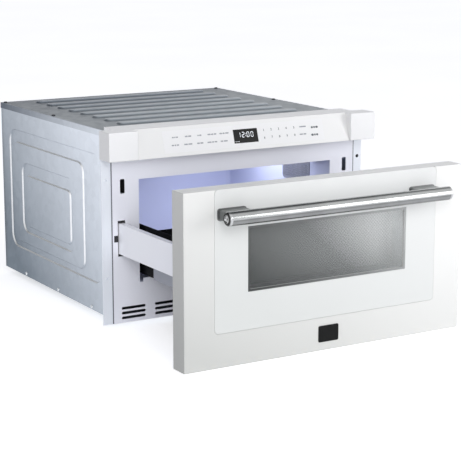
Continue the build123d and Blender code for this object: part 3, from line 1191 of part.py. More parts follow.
with BuildPart() as drive_motor:
    top = RACK_Z - RUN
    left = TOOTH_ROOT - RACK_BACK - GUIDE_WALL
    right = PINION_X + MOTOR_WIDTH / 2
    span = (FRAME_BACK, FRAME_BACK + MOTOR_WIDTH)
    block((left, right), span, (SHEET, top))
    guide_x = (TOOTH_ROOT - RACK_BACK - RUN, TOOTH_ROOT - GUIDE_LIP)
    block((left, TOOTH_ROOT - GUIDE_LIP), (span[1] - GUIDE_LENGTH, span[1]),
          (top, top + GEAR_FACE + 2 * RUN + GUIDE_ROOF))
    block(guide_x, (span[0] - 1, span[1] + 1), (top, top + GEAR_FACE + 2 * RUN), Mode.SUBTRACT)
    with Locations((PINION_X, PINION_Y, top)):
        Cylinder(SHAFT_RADIUS + SHAFT_PLAY, 2 * (SHAFT_LENGTH + 1), mode=Mode.SUBTRACT)
    can_y = span[1] + DRIVE_CAN_LENGTH / 2
    with Locations(Location((PINION_X, can_y, SHEET + DRIVE_CAN_RISE + DRIVE_CAN_RADIUS), (90, 0, 0))):
        Cylinder(DRIVE_CAN_RADIUS, DRIVE_CAN_LENGTH)
keep("drive_motor", drive_motor)
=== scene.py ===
import math

import bmesh
import bpy
from mathutils import Matrix, Vector


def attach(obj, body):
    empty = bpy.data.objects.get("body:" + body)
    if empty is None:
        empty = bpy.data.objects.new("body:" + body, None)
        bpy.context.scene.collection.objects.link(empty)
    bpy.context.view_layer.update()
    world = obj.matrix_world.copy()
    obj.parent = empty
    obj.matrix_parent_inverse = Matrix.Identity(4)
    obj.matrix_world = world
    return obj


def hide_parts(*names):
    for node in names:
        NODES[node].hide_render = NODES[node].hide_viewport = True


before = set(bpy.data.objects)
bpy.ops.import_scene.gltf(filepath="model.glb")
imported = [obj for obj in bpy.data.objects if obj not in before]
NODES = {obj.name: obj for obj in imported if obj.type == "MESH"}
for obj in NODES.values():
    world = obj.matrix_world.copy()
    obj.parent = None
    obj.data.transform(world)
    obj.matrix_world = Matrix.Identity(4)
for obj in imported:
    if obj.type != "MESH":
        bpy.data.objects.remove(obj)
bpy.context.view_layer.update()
MM = 0.001

# Places that the CAD source works out, in metres
FLANGE_FACE = -0.2738
BACK_FACE = 0.275
BODY_TOP = 0.367
SIDE_FACE = 0.273
DRAWER_FRONT = -0.597
PANEL_FOOT = 0.3188
PANEL_TOP = 0.3738
FASCIA_FOOT_Y = -0.313
FASCIA_HEAD_Y = -0.296
FLOOR_Z = -0.0152
BAR_AXIS = (-0.638, 0.26195)  # the handle's centre line: its Y and Z
BAR_RADIUS = 0.0127
SIDES = (-1, 1)

# Strength of the room as a light, what the floor adds of its own to look white, and what of that is light
ROOM_LIGHT = 0.50
FLOOR_LIFT = 0.58
FLOOR_GLOW = 0.14


# ------------------------------------------------------------------ node helpers
def linear(code):
    """An sRGB hex colour as linear red, green, blue and alpha."""
    parts = [int(code[i:i + 2], 16) / 255 for i in (1, 3, 5)]
    return tuple(p / 12.92 if p <= 0.04045 else ((p + 0.055) / 1.055) ** 2.4 for p in parts) + (1.0,)


def add(tree, kind, inputs=None, stops=None, **settings):
    """A node with its settings, its inputs set or linked, and a colour ramp's stops."""
    made = tree.nodes.new(kind)
    for key, value in settings.items():
        setattr(made, key, value)
    for key, value in (inputs or {}).items():
        if isinstance(value, bpy.types.NodeSocket):
            tree.links.new(value, made.inputs[key])
        else:
            made.inputs[key].default_value = value
    if stops:
        ramp = made.color_ramp
        while len(ramp.elements) < len(stops):
            ramp.elements.new(0.5)
        for element, (place, colour) in zip(ramp.elements, stops):
            element.position = place
            element.color = linear(colour) if isinstance(colour, str) else (colour, colour, colour, 1.0)
    return made


def finish(name, **inputs):
    """A material with a principled shader, and the object's own coordinates in metres."""
    made = bpy.data.materials.new(name)
    made.use_nodes = True
    tree = made.node_tree
    tree.nodes.clear()
    sockets = {key.replace("_", " "): value for key, value in inputs.items()}
    shader = add(tree, "ShaderNodeBsdfPrincipled", sockets)
    add(tree, "ShaderNodeOutputMaterial", {"Surface": shader.outputs[0]})
    place = add(tree, "ShaderNodeTexCoord").outputs["Object"]
    return made, tree, shader, place


# Between which levels of a cloud its tone changes: narrow for clear patches, wide for soft ones
NARROW_SPREAD = (0.35, 0.65)
STREAK_SPREAD = (0.25, 0.75)
WIDE_SPREAD = (0.2, 0.8)


def mottle(tree, place, size, low, high, detail=3.0, stretch=(1.0, 1.0, 1.0), spread=NARROW_SPREAD):
    """Cloudy change between two colours or levels, with clouds of a real size in metres."""
    scaled = add(tree, "ShaderNodeMapping", {"Vector": place, "Scale": tuple(s / size for s in stretch)})
    cloud = add(tree, "ShaderNodeTexNoise", {"Vector": scaled.outputs[0], "Scale": 1.0, "Detail": detail})
    blend = add(tree, "ShaderNodeValToRGB", {"Fac": cloud.outputs["Fac"]},
                stops=((spread[0], low), (spread[1], high)))
    blend.color_ramp.interpolation = "EASE"
    return blend.outputs["Color"]


def led_in(tree, shader, tones, rough=None, height=None, depth=0.0):
    """Tones laid over one another, roughness and a relief of a real depth in metres, led into the shader."""
    colour = tones[0]
    for tone in tones[1:]:
        colour = add(tree, "ShaderNodeMixRGB", {0: 1.0, 1: colour, 2: tone}, blend_type="MULTIPLY").outputs[0]
    tree.links.new(colour, shader.inputs["Base Color"])
    if rough is not None:
        tree.links.new(rough, shader.inputs["Roughness"])
    if height is not None:
        bump = add(tree, "ShaderNodeBump", {"Height": height, "Distance": depth, "Strength": 1.0})
        tree.links.new(bump.outputs["Normal"], shader.inputs["Normal"])


def painted(name, low, high, rough, peel, depth, patch=0.18, **inputs):
    """A sprayed or dipped coat: slow change of tone, and orange peel of a real size."""
    made, tree, shader, place = finish(name, **inputs)
    tone = mottle(tree, place, patch, low, high, detail=1.0, spread=WIDE_SPREAD)
    gloss = mottle(tree, place, patch / 4, rough[0], rough[1], detail=1.0, spread=WIDE_SPREAD)
    skin = mottle(tree, place, peel, 0.0, 1.0, detail=1.0, spread=(0.0, 1.0))
    led_in(tree, shader, [tone], gloss, skin, depth)
    return made


def rolled(name, low, high, rough, grain, stretch, depth, patch=0.05):
    """Bare metal with a grain: streaks of a real width drawn out along one direction."""
    made, tree, shader, place = finish(name, Metallic=1.0)
    streak = mottle(tree, place, grain, 0.0, 1.0, detail=2.0, stretch=stretch, spread=STREAK_SPREAD)
    level = add(tree, "ShaderNodeMapRange", {"Value": streak, "To Min": rough[0], "To Max": rough[1]})
    led_in(tree, shader, [mottle(tree, place, patch, low, high)], level.outputs[0], streak, depth)
    return made


def running(tree, place, lie, reach, low, high):
    """A tone that runs from low to high along a direction, from one place on it to another."""
    along = add(tree, "ShaderNodeVectorMath", {0: place, 1: lie}, operation="DOT_PRODUCT")
    share = add(tree, "ShaderNodeMapRange", {"Value": along.outputs["Value"], "From Min": reach[0],
                                             "From Max": reach[1]})
    return add(tree, "ShaderNodeValToRGB", {"Fac": share.outputs[0]},
               stops=((0.0, low), (1.0, high))).outputs[0]


# Hot-dip zinc, in metres: a crystal's width, how far and how finely its edge wanders, the width of a
# darker patch, and the width and depth of the grain that the roll leaves
CRYSTAL = 0.014
WANDER = 0.006
WANDER_PITCH = 1 / 60
ZINC_PATCH = 0.16
ROLL_GRAIN = 0.0012
ROLL_DEPTH = 0.000006


def zinc(name, rough, ground):
    """Hot-dip zinc, rolled smooth: crystals that differ a little, over a slow run of painted light and shade.
    """
    made, tree, shader, place = finish(name, Metallic=1.0)
    bent = add(tree, "ShaderNodeTexNoise", {"Vector": place, "Scale": 1 / WANDER_PITCH, "Detail": 2.0})
    mixed = add(tree, "ShaderNodeVectorMath", {0: bent.outputs["Color"], 1: (WANDER, WANDER, WANDER)},
                operation="MULTIPLY")
    shifted = add(tree, "ShaderNodeVectorMath", {0: place, 1: mixed.outputs[0]}, operation="ADD")
    cell = add(tree, "ShaderNodeTexVoronoi", {"Vector": shifted.outputs[0], "Scale": 1 / CRYSTAL})
    tone = add(tree, "ShaderNodeSeparateColor", {"Color": cell.outputs["Color"]})
    flake = add(tree, "ShaderNodeValToRGB", {"Fac": tone.outputs[0]}, stops=((0.0, 0.95), (1.0, 1.0)))
    cloud = mottle(tree, place, ZINC_PATCH, 0.95, 1.0)
    level = add(tree, "ShaderNodeMapRange", {"Value": tone.outputs[1], "To Min": rough[0],
                                             "To Max": rough[1]})
    grain = mottle(tree, place, ROLL_GRAIN, 0.0, 1.0, detail=2.0)
    tones = [flake.outputs["Color"], cloud, ground(tree, place)]
    led_in(tree, shader, tones, level.outputs[0], grain, ROLL_DEPTH)
    return made


# The ways that painted light and shade run on the object, and where along them they start and end, in metres
SHEET_WAY = (0.0, -0.95, 1.0)
SHEET_REACH = (-0.16, 0.51)
FOLD_REACH = (0.258, 0.272)
TOP_WAY = (0.25, -1.0, 0.0)
SKIRT_REACH = (-0.32, 0.20)
TOP_REACH = (-0.36, 0.02)
FLAT_RISE = (0.3662, 0.3668)
CREST_RISE = (0.3676, 0.3698)
FRONT_WAY = (1.0, 0.0, 2.0)
END_REACH = (0.3018, 0.3028)
WINDOW_WAY = (1.0, 0.0, 1.1)
WINDOW_REACH = (0.0, 0.46)
# The ways that a pressed slope faces to take a painted highlight or painted shade, and how much of that way
# it takes
HIGHLIGHT_WAY = (0.0, -1.0, 0.8)
HIGHLIGHT_LEAN = (0.20, 0.55)
SHADE_WAY = (0.0, 0.3, -1.0)
SHADE_LEAN = (0.20, 0.60)


def sheet_painted_light(tree, place):
    """Painted light: brightest at the upper front, darker towards the lower rear."""
    return running(tree, place, SHEET_WAY, SHEET_REACH, "#6a7681", "#e0e6ee")


def pressed_painted_light(tree, place):
    """The same painted light, with a painted highlight on slopes that face forward and up, and painted shade
    on slopes that face down and at the rear fold.
    """
    lie = add(tree, "ShaderNodeNewGeometry").outputs["Normal"]
    slope_highlight = running(tree, lie, HIGHLIGHT_WAY, HIGHLIGHT_LEAN, 0.0, 0.62)
    slope_shade = running(tree, lie, SHADE_WAY, SHADE_LEAN, 1.0, 0.86)
    fold_shade = running(tree, place, (0.0, 1.0, 0.0), FOLD_REACH, 1.0, 0.74)
    ground = sheet_painted_light(tree, place)
    for shade in (fold_shade, slope_shade):
        darker = add(tree, "ShaderNodeMixRGB", {0: 1.0, 1: ground, 2: shade}, blend_type="MULTIPLY")
        ground = darker.outputs[0]
    return add(tree, "ShaderNodeMixRGB", {0: slope_highlight, 1: ground, 2: linear("#ffffff")}).outputs[0]


def ribbed_painted_light(tree, place):
    """Painted light and shade on the top: darker on the flat, lighter on the ribs, both lighter towards the
    right front, and down the skirt a painted light of its own that runs the same way.
    """
    tone = running(tree, place, TOP_WAY, SKIRT_REACH, "#59626e", "#dce2e9")
    flat = running(tree, place, TOP_WAY, TOP_REACH, "#757d89", "#9ba3ab")
    crest = running(tree, place, TOP_WAY, TOP_REACH, "#a0a7b3", "#c2c9d0")
    for higher, rise in ((flat, FLAT_RISE), (crest, CREST_RISE)):
        share = running(tree, place, (0.0, 0.0, 1.0), rise, 0.0, 1.0)
        tone = add(tree, "ShaderNodeMixRGB", {0: share, 1: tone, 2: higher}).outputs[0]
    return tone


def shaded_front_white(name, low, high, reach, end_shade, **inputs):
    """White front: half gloss, with painted shade towards the lower left and again on its two ends."""
    made, tree, shader, place = finish(name, **inputs)
    front = running(tree, place, FRONT_WAY, reach, low, high)
    mirrored = add(tree, "ShaderNodeVectorMath", {0: place}, operation="ABSOLUTE").outputs[0]
    end = running(tree, mirrored, (1.0, 0.0, 0.0), END_REACH, 1.0, end_shade)
    led_in(tree, shader, [front, end])
    return made


# Polishing marks along the tube: their width and depth in metres, and how much they are drawn out
POLISH_GRAIN = 0.0006
POLISH_DEPTH = 0.000002
POLISH_DRAW = (0.015, 1.0, 1.0)


def polished_tube(name, tones, bright, rough):
    """Stainless tube polished along its length, with a painted reflection set by how far the surface faces
    up.
    """
    made, tree, shader, place = finish(name, Metallic=1.0)
    lie = add(tree, "ShaderNodeNewGeometry").outputs["Normal"]
    up = add(tree, "ShaderNodeSeparateXYZ", {0: lie}).outputs["Z"]
    share = add(tree, "ShaderNodeMapRange", {"Value": up, "From Min": -1.0}).outputs[0]
    band = add(tree, "ShaderNodeValToRGB", {"Fac": share}, stops=tones).outputs["Color"]
    streak = mottle(tree, place, POLISH_GRAIN, 0.0, 1.0, detail=2.0, stretch=POLISH_DRAW,
                    spread=STREAK_SPREAD)
    level = add(tree, "ShaderNodeMapRange", {"Value": streak, "To Min": rough[0], "To Max": rough[1]})
    cloud = mottle(tree, place, 0.05, bright[0], bright[1])
    led_in(tree, shader, [band, cloud], level.outputs[0], streak, POLISH_DEPTH)
    return made


def turned_cap(name, tones, rough):
    """Turned steel with painted light and shade in rings, by the distance from the handle's axis."""
    made, tree, shader, place = finish(name, Metallic=1.0)
    centred = add(tree, "ShaderNodeMapping", {"Vector": place, "Location": (0.0, -BAR_AXIS[0], -BAR_AXIS[1]),
                                              "Scale": (0.0, 1.0, 1.0)})
    off = add(tree, "ShaderNodeVectorMath", {0: centred.outputs[0]}, operation="LENGTH").outputs["Value"]
    share = add(tree, "ShaderNodeMapRange", {"Value": off, "From Max": BAR_RADIUS}).outputs[0]
    ring = add(tree, "ShaderNodeValToRGB", {"Fac": share}, stops=tones).outputs["Color"]
    led_in(tree, shader, [ring, mottle(tree, place, 0.004, 0.90, 1.0)],
           mottle(tree, place, 0.002, rough[0], rough[1]))
    return made


def banded(name, low, high, pitch, rough, depth, **inputs):
    """Sheets or turns stacked upwards at a real pitch, seen as dark lines between rounded ones, each with a
    painted highlight along its middle.
    """
    made, tree, shader, place = finish(name, Roughness=rough, **inputs)
    height = add(tree, "ShaderNodeSeparateXYZ", {0: place}).outputs["Z"]
    turns = add(tree, "ShaderNodeMath", {0: height, 1: math.pi / pitch}, operation="MULTIPLY")
    wave = add(tree, "ShaderNodeMath", {0: turns.outputs[0]}, operation="SINE")
    crest = add(tree, "ShaderNodeMath", {0: wave.outputs[0]}, operation="ABSOLUTE").outputs[0]
    band = add(tree, "ShaderNodeValToRGB", {"Fac": crest}, stops=((0.1, low), (0.6, high)))
    led_in(tree, shader, [band.outputs[0], mottle(tree, place, 0.02, 0.8, 1.0)], height=crest, depth=depth)
    return made


FLAKE_DEPTH = 0.00002


def flecked(name, ground, fleck, size, share, rough, **inputs):
    """A ground with small flakes of another colour in it."""
    made, tree, shader, place = finish(name, Roughness=rough, **inputs)
    flake = add(tree, "ShaderNodeTexVoronoi", {"Vector": place, "Scale": 1 / size})
    pick = add(tree, "ShaderNodeSeparateColor", {"Color": flake.outputs["Color"]})
    chosen = add(tree, "ShaderNodeMath", {0: pick.outputs[0], 1: share}, operation="LESS_THAN")
    base = mottle(tree, place, 0.03, ground, fleck, spread=(0.4, 1.0))
    colour = add(tree, "ShaderNodeMixRGB", {0: chosen.outputs[0], 1: base, 2: linear(fleck)})
    led_in(tree, shader, [colour.outputs[0]], height=pick.outputs[1], depth=FLAKE_DEPTH)
    return made


def clear_pane(name):
    """Tempered pane: thin, see-through, its surface just there as a faint grey veil."""
    made, tree, shader, place = finish(name, Alpha=0.09, IOR=1.5, Specular_IOR_Level=1.0)
    veil = mottle(tree, place, 0.20, "#9da1a0", "#a7abaa")
    led_in(tree, shader, [veil], mottle(tree, place, 0.30, 0.04, 0.07))
    return made


# Pitch of the window screen's holes as drawn. The real ones are 1.6 mm at 2.2 mm, too fine to show.
DRAWN_PITCH = 0.0046
# A hole's radius and where its soft edge ends, in pitches, and how far along the run two tones come
HOLE_EDGE = (0.26, 0.40)
MIDDLE_PLACE = 0.45
BRIGHT_PLACE = 0.85


def painted_light_grey(name, rough, low, middle, high, hole=None):
    """Grey under a painted light that rises from the lower left to the upper right. With a hole's tone,
    perforated.
    """
    made, tree, shader, place = finish(name, Roughness=rough, Specular_IOR_Level=0.2)
    level = running(tree, place, WINDOW_WAY, WINDOW_REACH, 0.0, 1.0)
    tone = add(tree, "ShaderNodeValToRGB", {"Fac": level},
               stops=((0.0, low), (MIDDLE_PLACE, middle), (BRIGHT_PLACE, high)))
    if hole:
        turned = add(tree, "ShaderNodeMapping", {"Vector": place, "Rotation": (0.0, math.radians(45), 0.0),
                                                 "Scale": (1 / DRAWN_PITCH, 0.0, 1 / DRAWN_PITCH)})
        cell = add(tree, "ShaderNodeTexVoronoi", {"Vector": turned.outputs[0], "Scale": 1.0,
                                                  "Randomness": 0.0})
        pattern = add(tree, "ShaderNodeValToRGB", {"Fac": cell.outputs["Distance"]},
                      stops=((HOLE_EDGE[0], hole), (HOLE_EDGE[1], "#ffffff"))).outputs[0]
    else:
        pattern = mottle(tree, place, 0.02, 0.94, 1.0)
    led_in(tree, shader, [pattern, tone.outputs[0]])
    return made


def lit_glow(name, colour, strength, rough):
    """A surface that gives light, with a slightly uneven brightness."""
    made, tree, shader, place = finish(name, Roughness=rough, Emission_Strength=strength)
    tree.links.new(mottle(tree, place, 0.004, colour, "#ffffff", spread=(0.2, 1.4)),
                   shader.inputs["Emission Color"])
    led_in(tree, shader, [mottle(tree, place, 0.01, colour, "#e8eaf4")])
    return made


# ------------------------------------------------------------------ finishes
# Most give two tones, the least and the greatest roughness, and the width and depth of a grain in metres.
# Hot-dip galvanised sheet, skin-passed: soft blue-grey crystals, no sharp reflection, under a painted light
# that is brightest at the upper front.
GALVANISED = zinc("galvanised steel", (0.40, 0.48), sheet_painted_light)
# The same sheet on the sides, with painted highlights and painted shade on its pressed slopes, and painted
# shade at the rear fold.
PRESSED_ZINC = zinc("pressed galvanised steel", (0.38, 0.46), pressed_painted_light)
# And on the ribbed top: painted shade between the ribs, painted light on them.
RIBBED_ZINC = zinc("ribbed galvanised steel", (0.38, 0.46), ribbed_painted_light)
# Powder-coated steel: pale lavender grey, a satin skin with fine orange peel.
POWDER_COAT = painted("powder-coated steel", "#eeeff7", "#f2f3fa", (0.42, 0.50), 0.0016, 0.00002,
                      Specular_IOR_Level=0.35)
# The same coat over zinc on the flange strips: a little bluer.
FLANGE_COAT = painted("coated flange steel", "#eaeff6", "#f0f4fa", (0.40, 0.48), 0.0016, 0.00002)
# Stoved enamel on the drawer front: warm white, smooth, half gloss, with painted shade towards the lower left
# and on its folded ends.
STOVED_ENAMEL = shaded_front_white("stoved white enamel", "#cccdc9", "#f1f1ee", (-0.25, 0.60), 0.68,
                            Roughness=0.32, Specular_IOR_Level=0.4)
# The same enamel on the end trims and the panel's housing, a brighter and more even white, with painted shade
# on the ends.
TRIM_ENAMEL = shaded_front_white("bright white enamel", "#f7f7f6", "#f6f6f5", (0.30, 1.00), 0.80,
                          Roughness=0.32, Specular_IOR_Level=0.4)
# Back-painted glass: the white lies under a clear hard surface, which gives it a faint even sheen, and a
# faint painted shade towards the lower left.
WHITE_GLASS = shaded_front_white("back-painted white glass", "#d9dbd8", "#e9eae8", (0.00, 0.75), 1.0,
                          Roughness=0.28)
# The fascia's glass: the same, painted a purer white.
FASCIA_GLASS = shaded_front_white("back-painted fascia glass", "#ebebe9", "#eeeeec", (0.40, 1.00), 1.0,
                           Roughness=0.30)
# Silk-finish polyester film over the touch keys: an even white, a touch duller than the glass.
TOUCH_FILM = painted("silk polyester film", "#eeeeee", "#f0f0ef", (0.32, 0.34), 0.0008, 0.000004, patch=0.40)
# Zinc-plated slide steel: brighter and finer than the body sheet, drawn along its length.
SLIDE_STEEL = rolled("zinc-plated slide steel", "#a7abb0", "#bcc0c4", (0.28, 0.42), 0.0007,
                     (1.0, 0.02, 1.0), 0.000004)
# Stainless tube with a painted reflection: a bright band in front, and dark lines below it.
POLISHED_STEEL = polished_tube("polished stainless steel", (
    (0.0, 0.55), (0.13, 0.38), (0.22, 0.60), (0.34, 0.60), (0.40, 0.44), (0.46, 0.62), (0.51, 1.0)),
    ("#a9abab", "#b6b8b8"), (0.13, 0.21))
# Satin steel on the handle's posts: darker and duller than the bar.
SATIN_STEEL = rolled("satin post steel", "#767878", "#848686", (0.30, 0.40), 0.0006, (1.0, 1.0, 0.02),
                     0.000003)
# Turned caps in painted light and shade: a dark centre for a socket's shade, a bright boss, a dark ring for a
# groove's shade, and a pale rim; boss and rim are painted highlights.
BUFFED_STEEL = turned_cap("buffed end-cap steel", (
    (0.10, "#2a2b2c"), (0.22, "#d6d7d8"), (0.48, "#d6d7d8"), (0.62, "#2e2f30"), (0.88, "#3a3b3c"),
    (0.97, "#bfc0c1")), (0.14, 0.24))
# Light vitreous enamel in the oven: pale blue grey, its blue partly a painted tint of the lamp's light, half
# gloss, faint waves where it ran.
CAVITY_ENAMEL = painted("pale blue oven enamel", "#c6cadf", "#cfd3e6", (0.30, 0.38), 0.0060, 0.00003)
# Non-stick coat on the pan: near black, fine sparkle, soft shine.
NON_STICK = painted("black non-stick coat", "#060608", "#0c0d10", (0.50, 0.62), 0.0010, 0.00003,
                    patch=0.01, Specular_IOR_Level=0.1)
# Satin coat on the pan's rails: an even mid grey.
GREY_COAT = painted("satin grey coat", "#9c9fa8", "#a9acb4", (0.38, 0.48), 0.0016, 0.00002)
# Enamel on the air grille: a darker, dull grey.
GRILLE_COAT = painted("grey grille enamel", "#70727b", "#7e8088", (0.45, 0.55), 0.0016, 0.00002)
# White coat on the drawer's arms: cooler than the front.
ARM_COAT = painted("cool white coat", "#f1f2f8", "#f6f7fb", (0.34, 0.44), 0.0016, 0.00002)
# Moulded ABS, spark-eroded: dull black or ivory with a fine grain.
DARK_PLASTIC = painted("moulded black ABS", "#1a1a1c", "#242427", (0.48, 0.60), 0.0008, 0.00004)
LIGHT_PLASTIC = painted("moulded ivory ABS", "#d4d3cd", "#dedcd6", (0.42, 0.52), 0.0008, 0.00003)
# Moulded nylon: milky and slightly waxy.
NYLON = painted("moulded nylon", "#dedcd2", "#e9e7df", (0.36, 0.46), 0.0020, 0.00002,
                Subsurface_Weight=0.15, Subsurface_Scale=0.002)
# Black oxide on the screws: dark, dry, a little worn.
BLACK_OXIDE = painted("black oxide steel", "#26272a", "#3a3b3f", (0.35, 0.55), 0.0006, 0.00002,
                      patch=0.004, Metallic=1.0)
# Extruded and pressed aluminium: pale, soft streaks.
ALUMINIUM = rolled("mill-finish aluminium", "#c5c7c9", "#d3d4d6", (0.30, 0.45), 0.0008,
                   (0.05, 1.0, 1.0), 0.000004)
# Black anodised plate for the bare badge: deep black, with no more than a dull sheen.
BADGE_BLACK = painted("black anodised plate", "#070808", "#0d0e0e", (0.34, 0.42), 0.0010, 0.00001,
                      patch=0.01, Specular_IOR_Level=0.15)
# Bright zinc on the side and back screws: pale, clean, a little uneven.
BRIGHT_ZINC = rolled("bright zinc screws", "#c9ccd0", "#e2e4e6", (0.22, 0.34), 0.0006, (1.0, 1.0, 1.0),
                     0.000004, patch=0.003)
# Dark strip between the frame and the flanges, a painted shadow of the gap: matt charcoal.
GAP_SHADOW_COAT = painted("charcoal gap shadow", "#5a5b63", "#666770", (0.65, 0.80), 0.0008, 0.00003)
# Varnished transformer steel: a dark stack of 0.5 mm sheets, drawn 2 mm apart so that it shows.
CORE_STEEL = banded("varnished core laminations", "#1d1e21", "#4b4d52", 0.002, 0.45, 0.0002, Metallic=0.6)
# Enamelled copper wire in turns 1.2 mm apart: orange brown, each turn with a painted highlight.
COPPER_WIRE = banded("enamelled copper wire", "#4a1d0c", "#b0602c", 0.0012, 0.30, 0.0003, Metallic=0.7)
# Pressed mica sheet: silvery beige flakes a few millimetres wide.
MICA = flecked("pressed mica sheet", "#a89e8a", "#c9c1b0", 0.003, 0.45, 0.45)
# Glass ceramic tray: glossy black with dark grey specks about a millimetre wide.
GLASS_CERAMIC = flecked("black glass ceramic", "#101114", "#2a2c31", 0.0014, 0.12, 0.12, Coat_Weight=0.5,
                        Coat_Roughness=0.03)
# Solder mask over copper tracks: green in two depths.
SOLDER_MASK = flecked("green solder mask", "#0d3a20", "#1b5c33", 0.004, 0.35, 0.40)
# Tempered glass with a grey tint: thin and clear, with a faint veil on its surface.
CLEAR_PANE = clear_pane("tinted tempered glass")
# Perforated sheet, painted grey: fine dots, under a painted light that rises towards the upper right.
PIERCED_SCREEN = painted_light_grey("perforated window screen", 0.55, "#303231", "#868887", "#f0f1f0", "#e2e3e2")
# Matt grey paint inside the window's well, under the same painted light.
SLEEVE_GREY = painted_light_grey("grey sleeve paint", 0.60, "#484a49", "#9a9c9b", "#f0f2f1")
# Ceramic ink fired on the pane's edge: satin grey that hides the edge of the well, under the same painted
# light.
BORDER_INK = painted_light_grey("printed pane border", 0.50, "#4c4e4d", "#838584", "#b6b8b7")
# Smoked acrylic over the display: black, polished.
SMOKED_ACRYLIC = painted("smoked acrylic", "#030404", "#060707", (0.14, 0.16), 0.0100, 0.000001,
                         patch=0.02, Specular_IOR_Level=0.10)
# Heat-proof lamp box: pale moulded resin.
LAMP_RESIN = painted("moulded lamp resin", "#a9adb8", "#b4b8c2", (0.50, 0.60), 0.0008, 0.00003)
# Display segments: pale blue-white light behind the acrylic.
SEGMENT_GLOW = lit_glow("display segment light", "#cfd6da", 0.9, 0.4)
# Screen-printed ink on the fascia: matt grey, slightly uneven, and darker on the two run keys.
KEY_INK = painted("grey key ink", "#94969b", "#a2a4a9", (0.55, 0.65), 0.0005, 0.000002, patch=0.004)
DARK_INK = painted("charcoal key ink", "#54585c", "#64686c", (0.50, 0.60), 0.0005, 0.000002, patch=0.004)

# The CAD nodes that wear each finish
WORN_BY = {
    GALVANISED: ("base_pan", "back_panel", "waveguide", "stirrer_motor"),
    PRESSED_ZINC: ("left_side_panel", "right_side_panel"),
    RIBBED_ZINC: ("top_cover",),
    POWDER_COAT: ("front_frame", "door_inner_plate"),
    FLANGE_COAT: ("left_mounting_flange", "right_mounting_flange"),
    STOVED_ENAMEL: ("door_frame",),
    TRIM_ENAMEL: ("left_end_trim", "right_end_trim", "panel_housing"),
    WHITE_GLASS: ("door_panel",),
    FASCIA_GLASS: ("control_fascia",),
    SLIDE_STEEL: ("left_slide_rail", "right_slide_rail", "left_slide_middle", "right_slide_middle",
                  "left_slide_inner", "right_slide_inner"),
    POLISHED_STEEL: ("handle_bar",),
    SATIN_STEEL: ("left_handle_post", "right_handle_post"),
    BUFFED_STEEL: ("handle_end_caps",),
    CAVITY_ENAMEL: ("oven_cavity",),
    NON_STICK: ("drawer_pan",),
    GREY_COAT: ("left_pan_rail", "right_pan_rail"),
    GRILLE_COAT: ("air_grille",),
    ARM_COAT: ("left_side_arm", "right_side_arm"),
    DARK_PLASTIC: ("fan_housing", "fan_impeller", "cord_gland", "left_interlock_switch",
                   "right_interlock_switch", "drive_motor", "fan_motor"),
    LIGHT_PLASTIC: ("choke_cover", "left_latch_hook", "right_latch_hook"),
    NYLON: ("drive_pinion", "drive_rack"),
    BLACK_OXIDE: ("case_screws",),
    ALUMINIUM: ("magnetron", "hv_capacitor", "stirrer"),
    CORE_STEEL: ("transformer_core",),
    COPPER_WIRE: ("transformer_windings",),
    MICA: ("waveguide_cover",),
    GLASS_CERAMIC: ("glass_tray",),
    SOLDER_MASK: ("control_board",),
    CLEAR_PANE: ("window_pane",),
    PIERCED_SCREEN: ("window_screen",),
    SMOKED_ACRYLIC: ("display_window",),
    LAMP_RESIN: ("cavity_lamp",),
    BADGE_BLACK: ("badge_plate",),
}
for coat, names in WORN_BY.items():
    for name in names:
        skin = NODES[name].data
        skin.materials.clear()
        skin.materials.append(coat)


# ------------------------------------------------------------------ pieces
FASCIA_TILT = math.atan2(FASCIA_HEAD_Y - FASCIA_FOOT_Y, PANEL_TOP - PANEL_FOOT)
WELD = 0.000001         # points nearer than this, in metres, are one
CREASE = math.radians(30)


def made_of(name, shape, coat, body, instead=None):
    """Turn a finished bmesh into a piece that rides on a body, its place already in its mesh."""
    bmesh.ops.remove_doubles(shape, verts=shape.verts, dist=WELD)
    bmesh.ops.recalc_face_normals(shape, faces=shape.faces)
    mesh = bpy.data.meshes.new(name)
    shape.to_mesh(mesh)
    shape.free()
    mesh.shade_smooth()
    mesh.set_sharp_from_angle(angle=CREASE)
    mesh.materials.append(coat)
    piece = bpy.data.objects.new(name, mesh)
    bpy.context.scene.collection.objects.link(piece)
    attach(piece, body)
    if instead:
        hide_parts(instead)


def gathered(shapes):
    """Several shapes in one. They are used up."""
    whole = bmesh.new()
    for shape in shapes:
        mesh = bpy.data.meshes.new("part")
        shape.to_mesh(mesh)
        shape.free()
        whole.from_mesh(mesh)
        bpy.data.meshes.remove(mesh)
    return whole


def set_down(pattern, places):
    """One pattern set down at every place, each a matrix. The pattern is used up."""
    mesh = bpy.data.meshes.new("pattern")
    pattern.to_mesh(mesh)
    pattern.free()
    whole = bmesh.new()
    for place in places:
        first = len(whole.verts)
        whole.from_mesh(mesh)
        whole.verts.ensure_lookup_table()
        bmesh.ops.transform(whole, matrix=place, verts=whole.verts[first:])
    bpy.data.meshes.remove(mesh)
    return whole


def moved(verts):
    """The points among what an operator gave back."""
    return [part for part in verts if isinstance(part, bmesh.types.BMVert)]


def at(x, y, z):
    """A place with no turn."""
    return Matrix.Translation((x, y, z))


def facing(x, y, z, turn, axis):
    """A place whose Z points another way: turned by degrees about one axis."""
    return at(x, y, z) @ Matrix.Rotation(math.radians(turn), 4, axis)


def plate(width, height):
    """A flat rectangle round the origin."""
    shape = bmesh.new()
    bmesh.ops.create_grid(shape, x_segments=1, y_segments=1, size=0.5)
    bmesh.ops.scale(shape, vec=(width, height, 1.0), verts=shape.verts)
    return shape


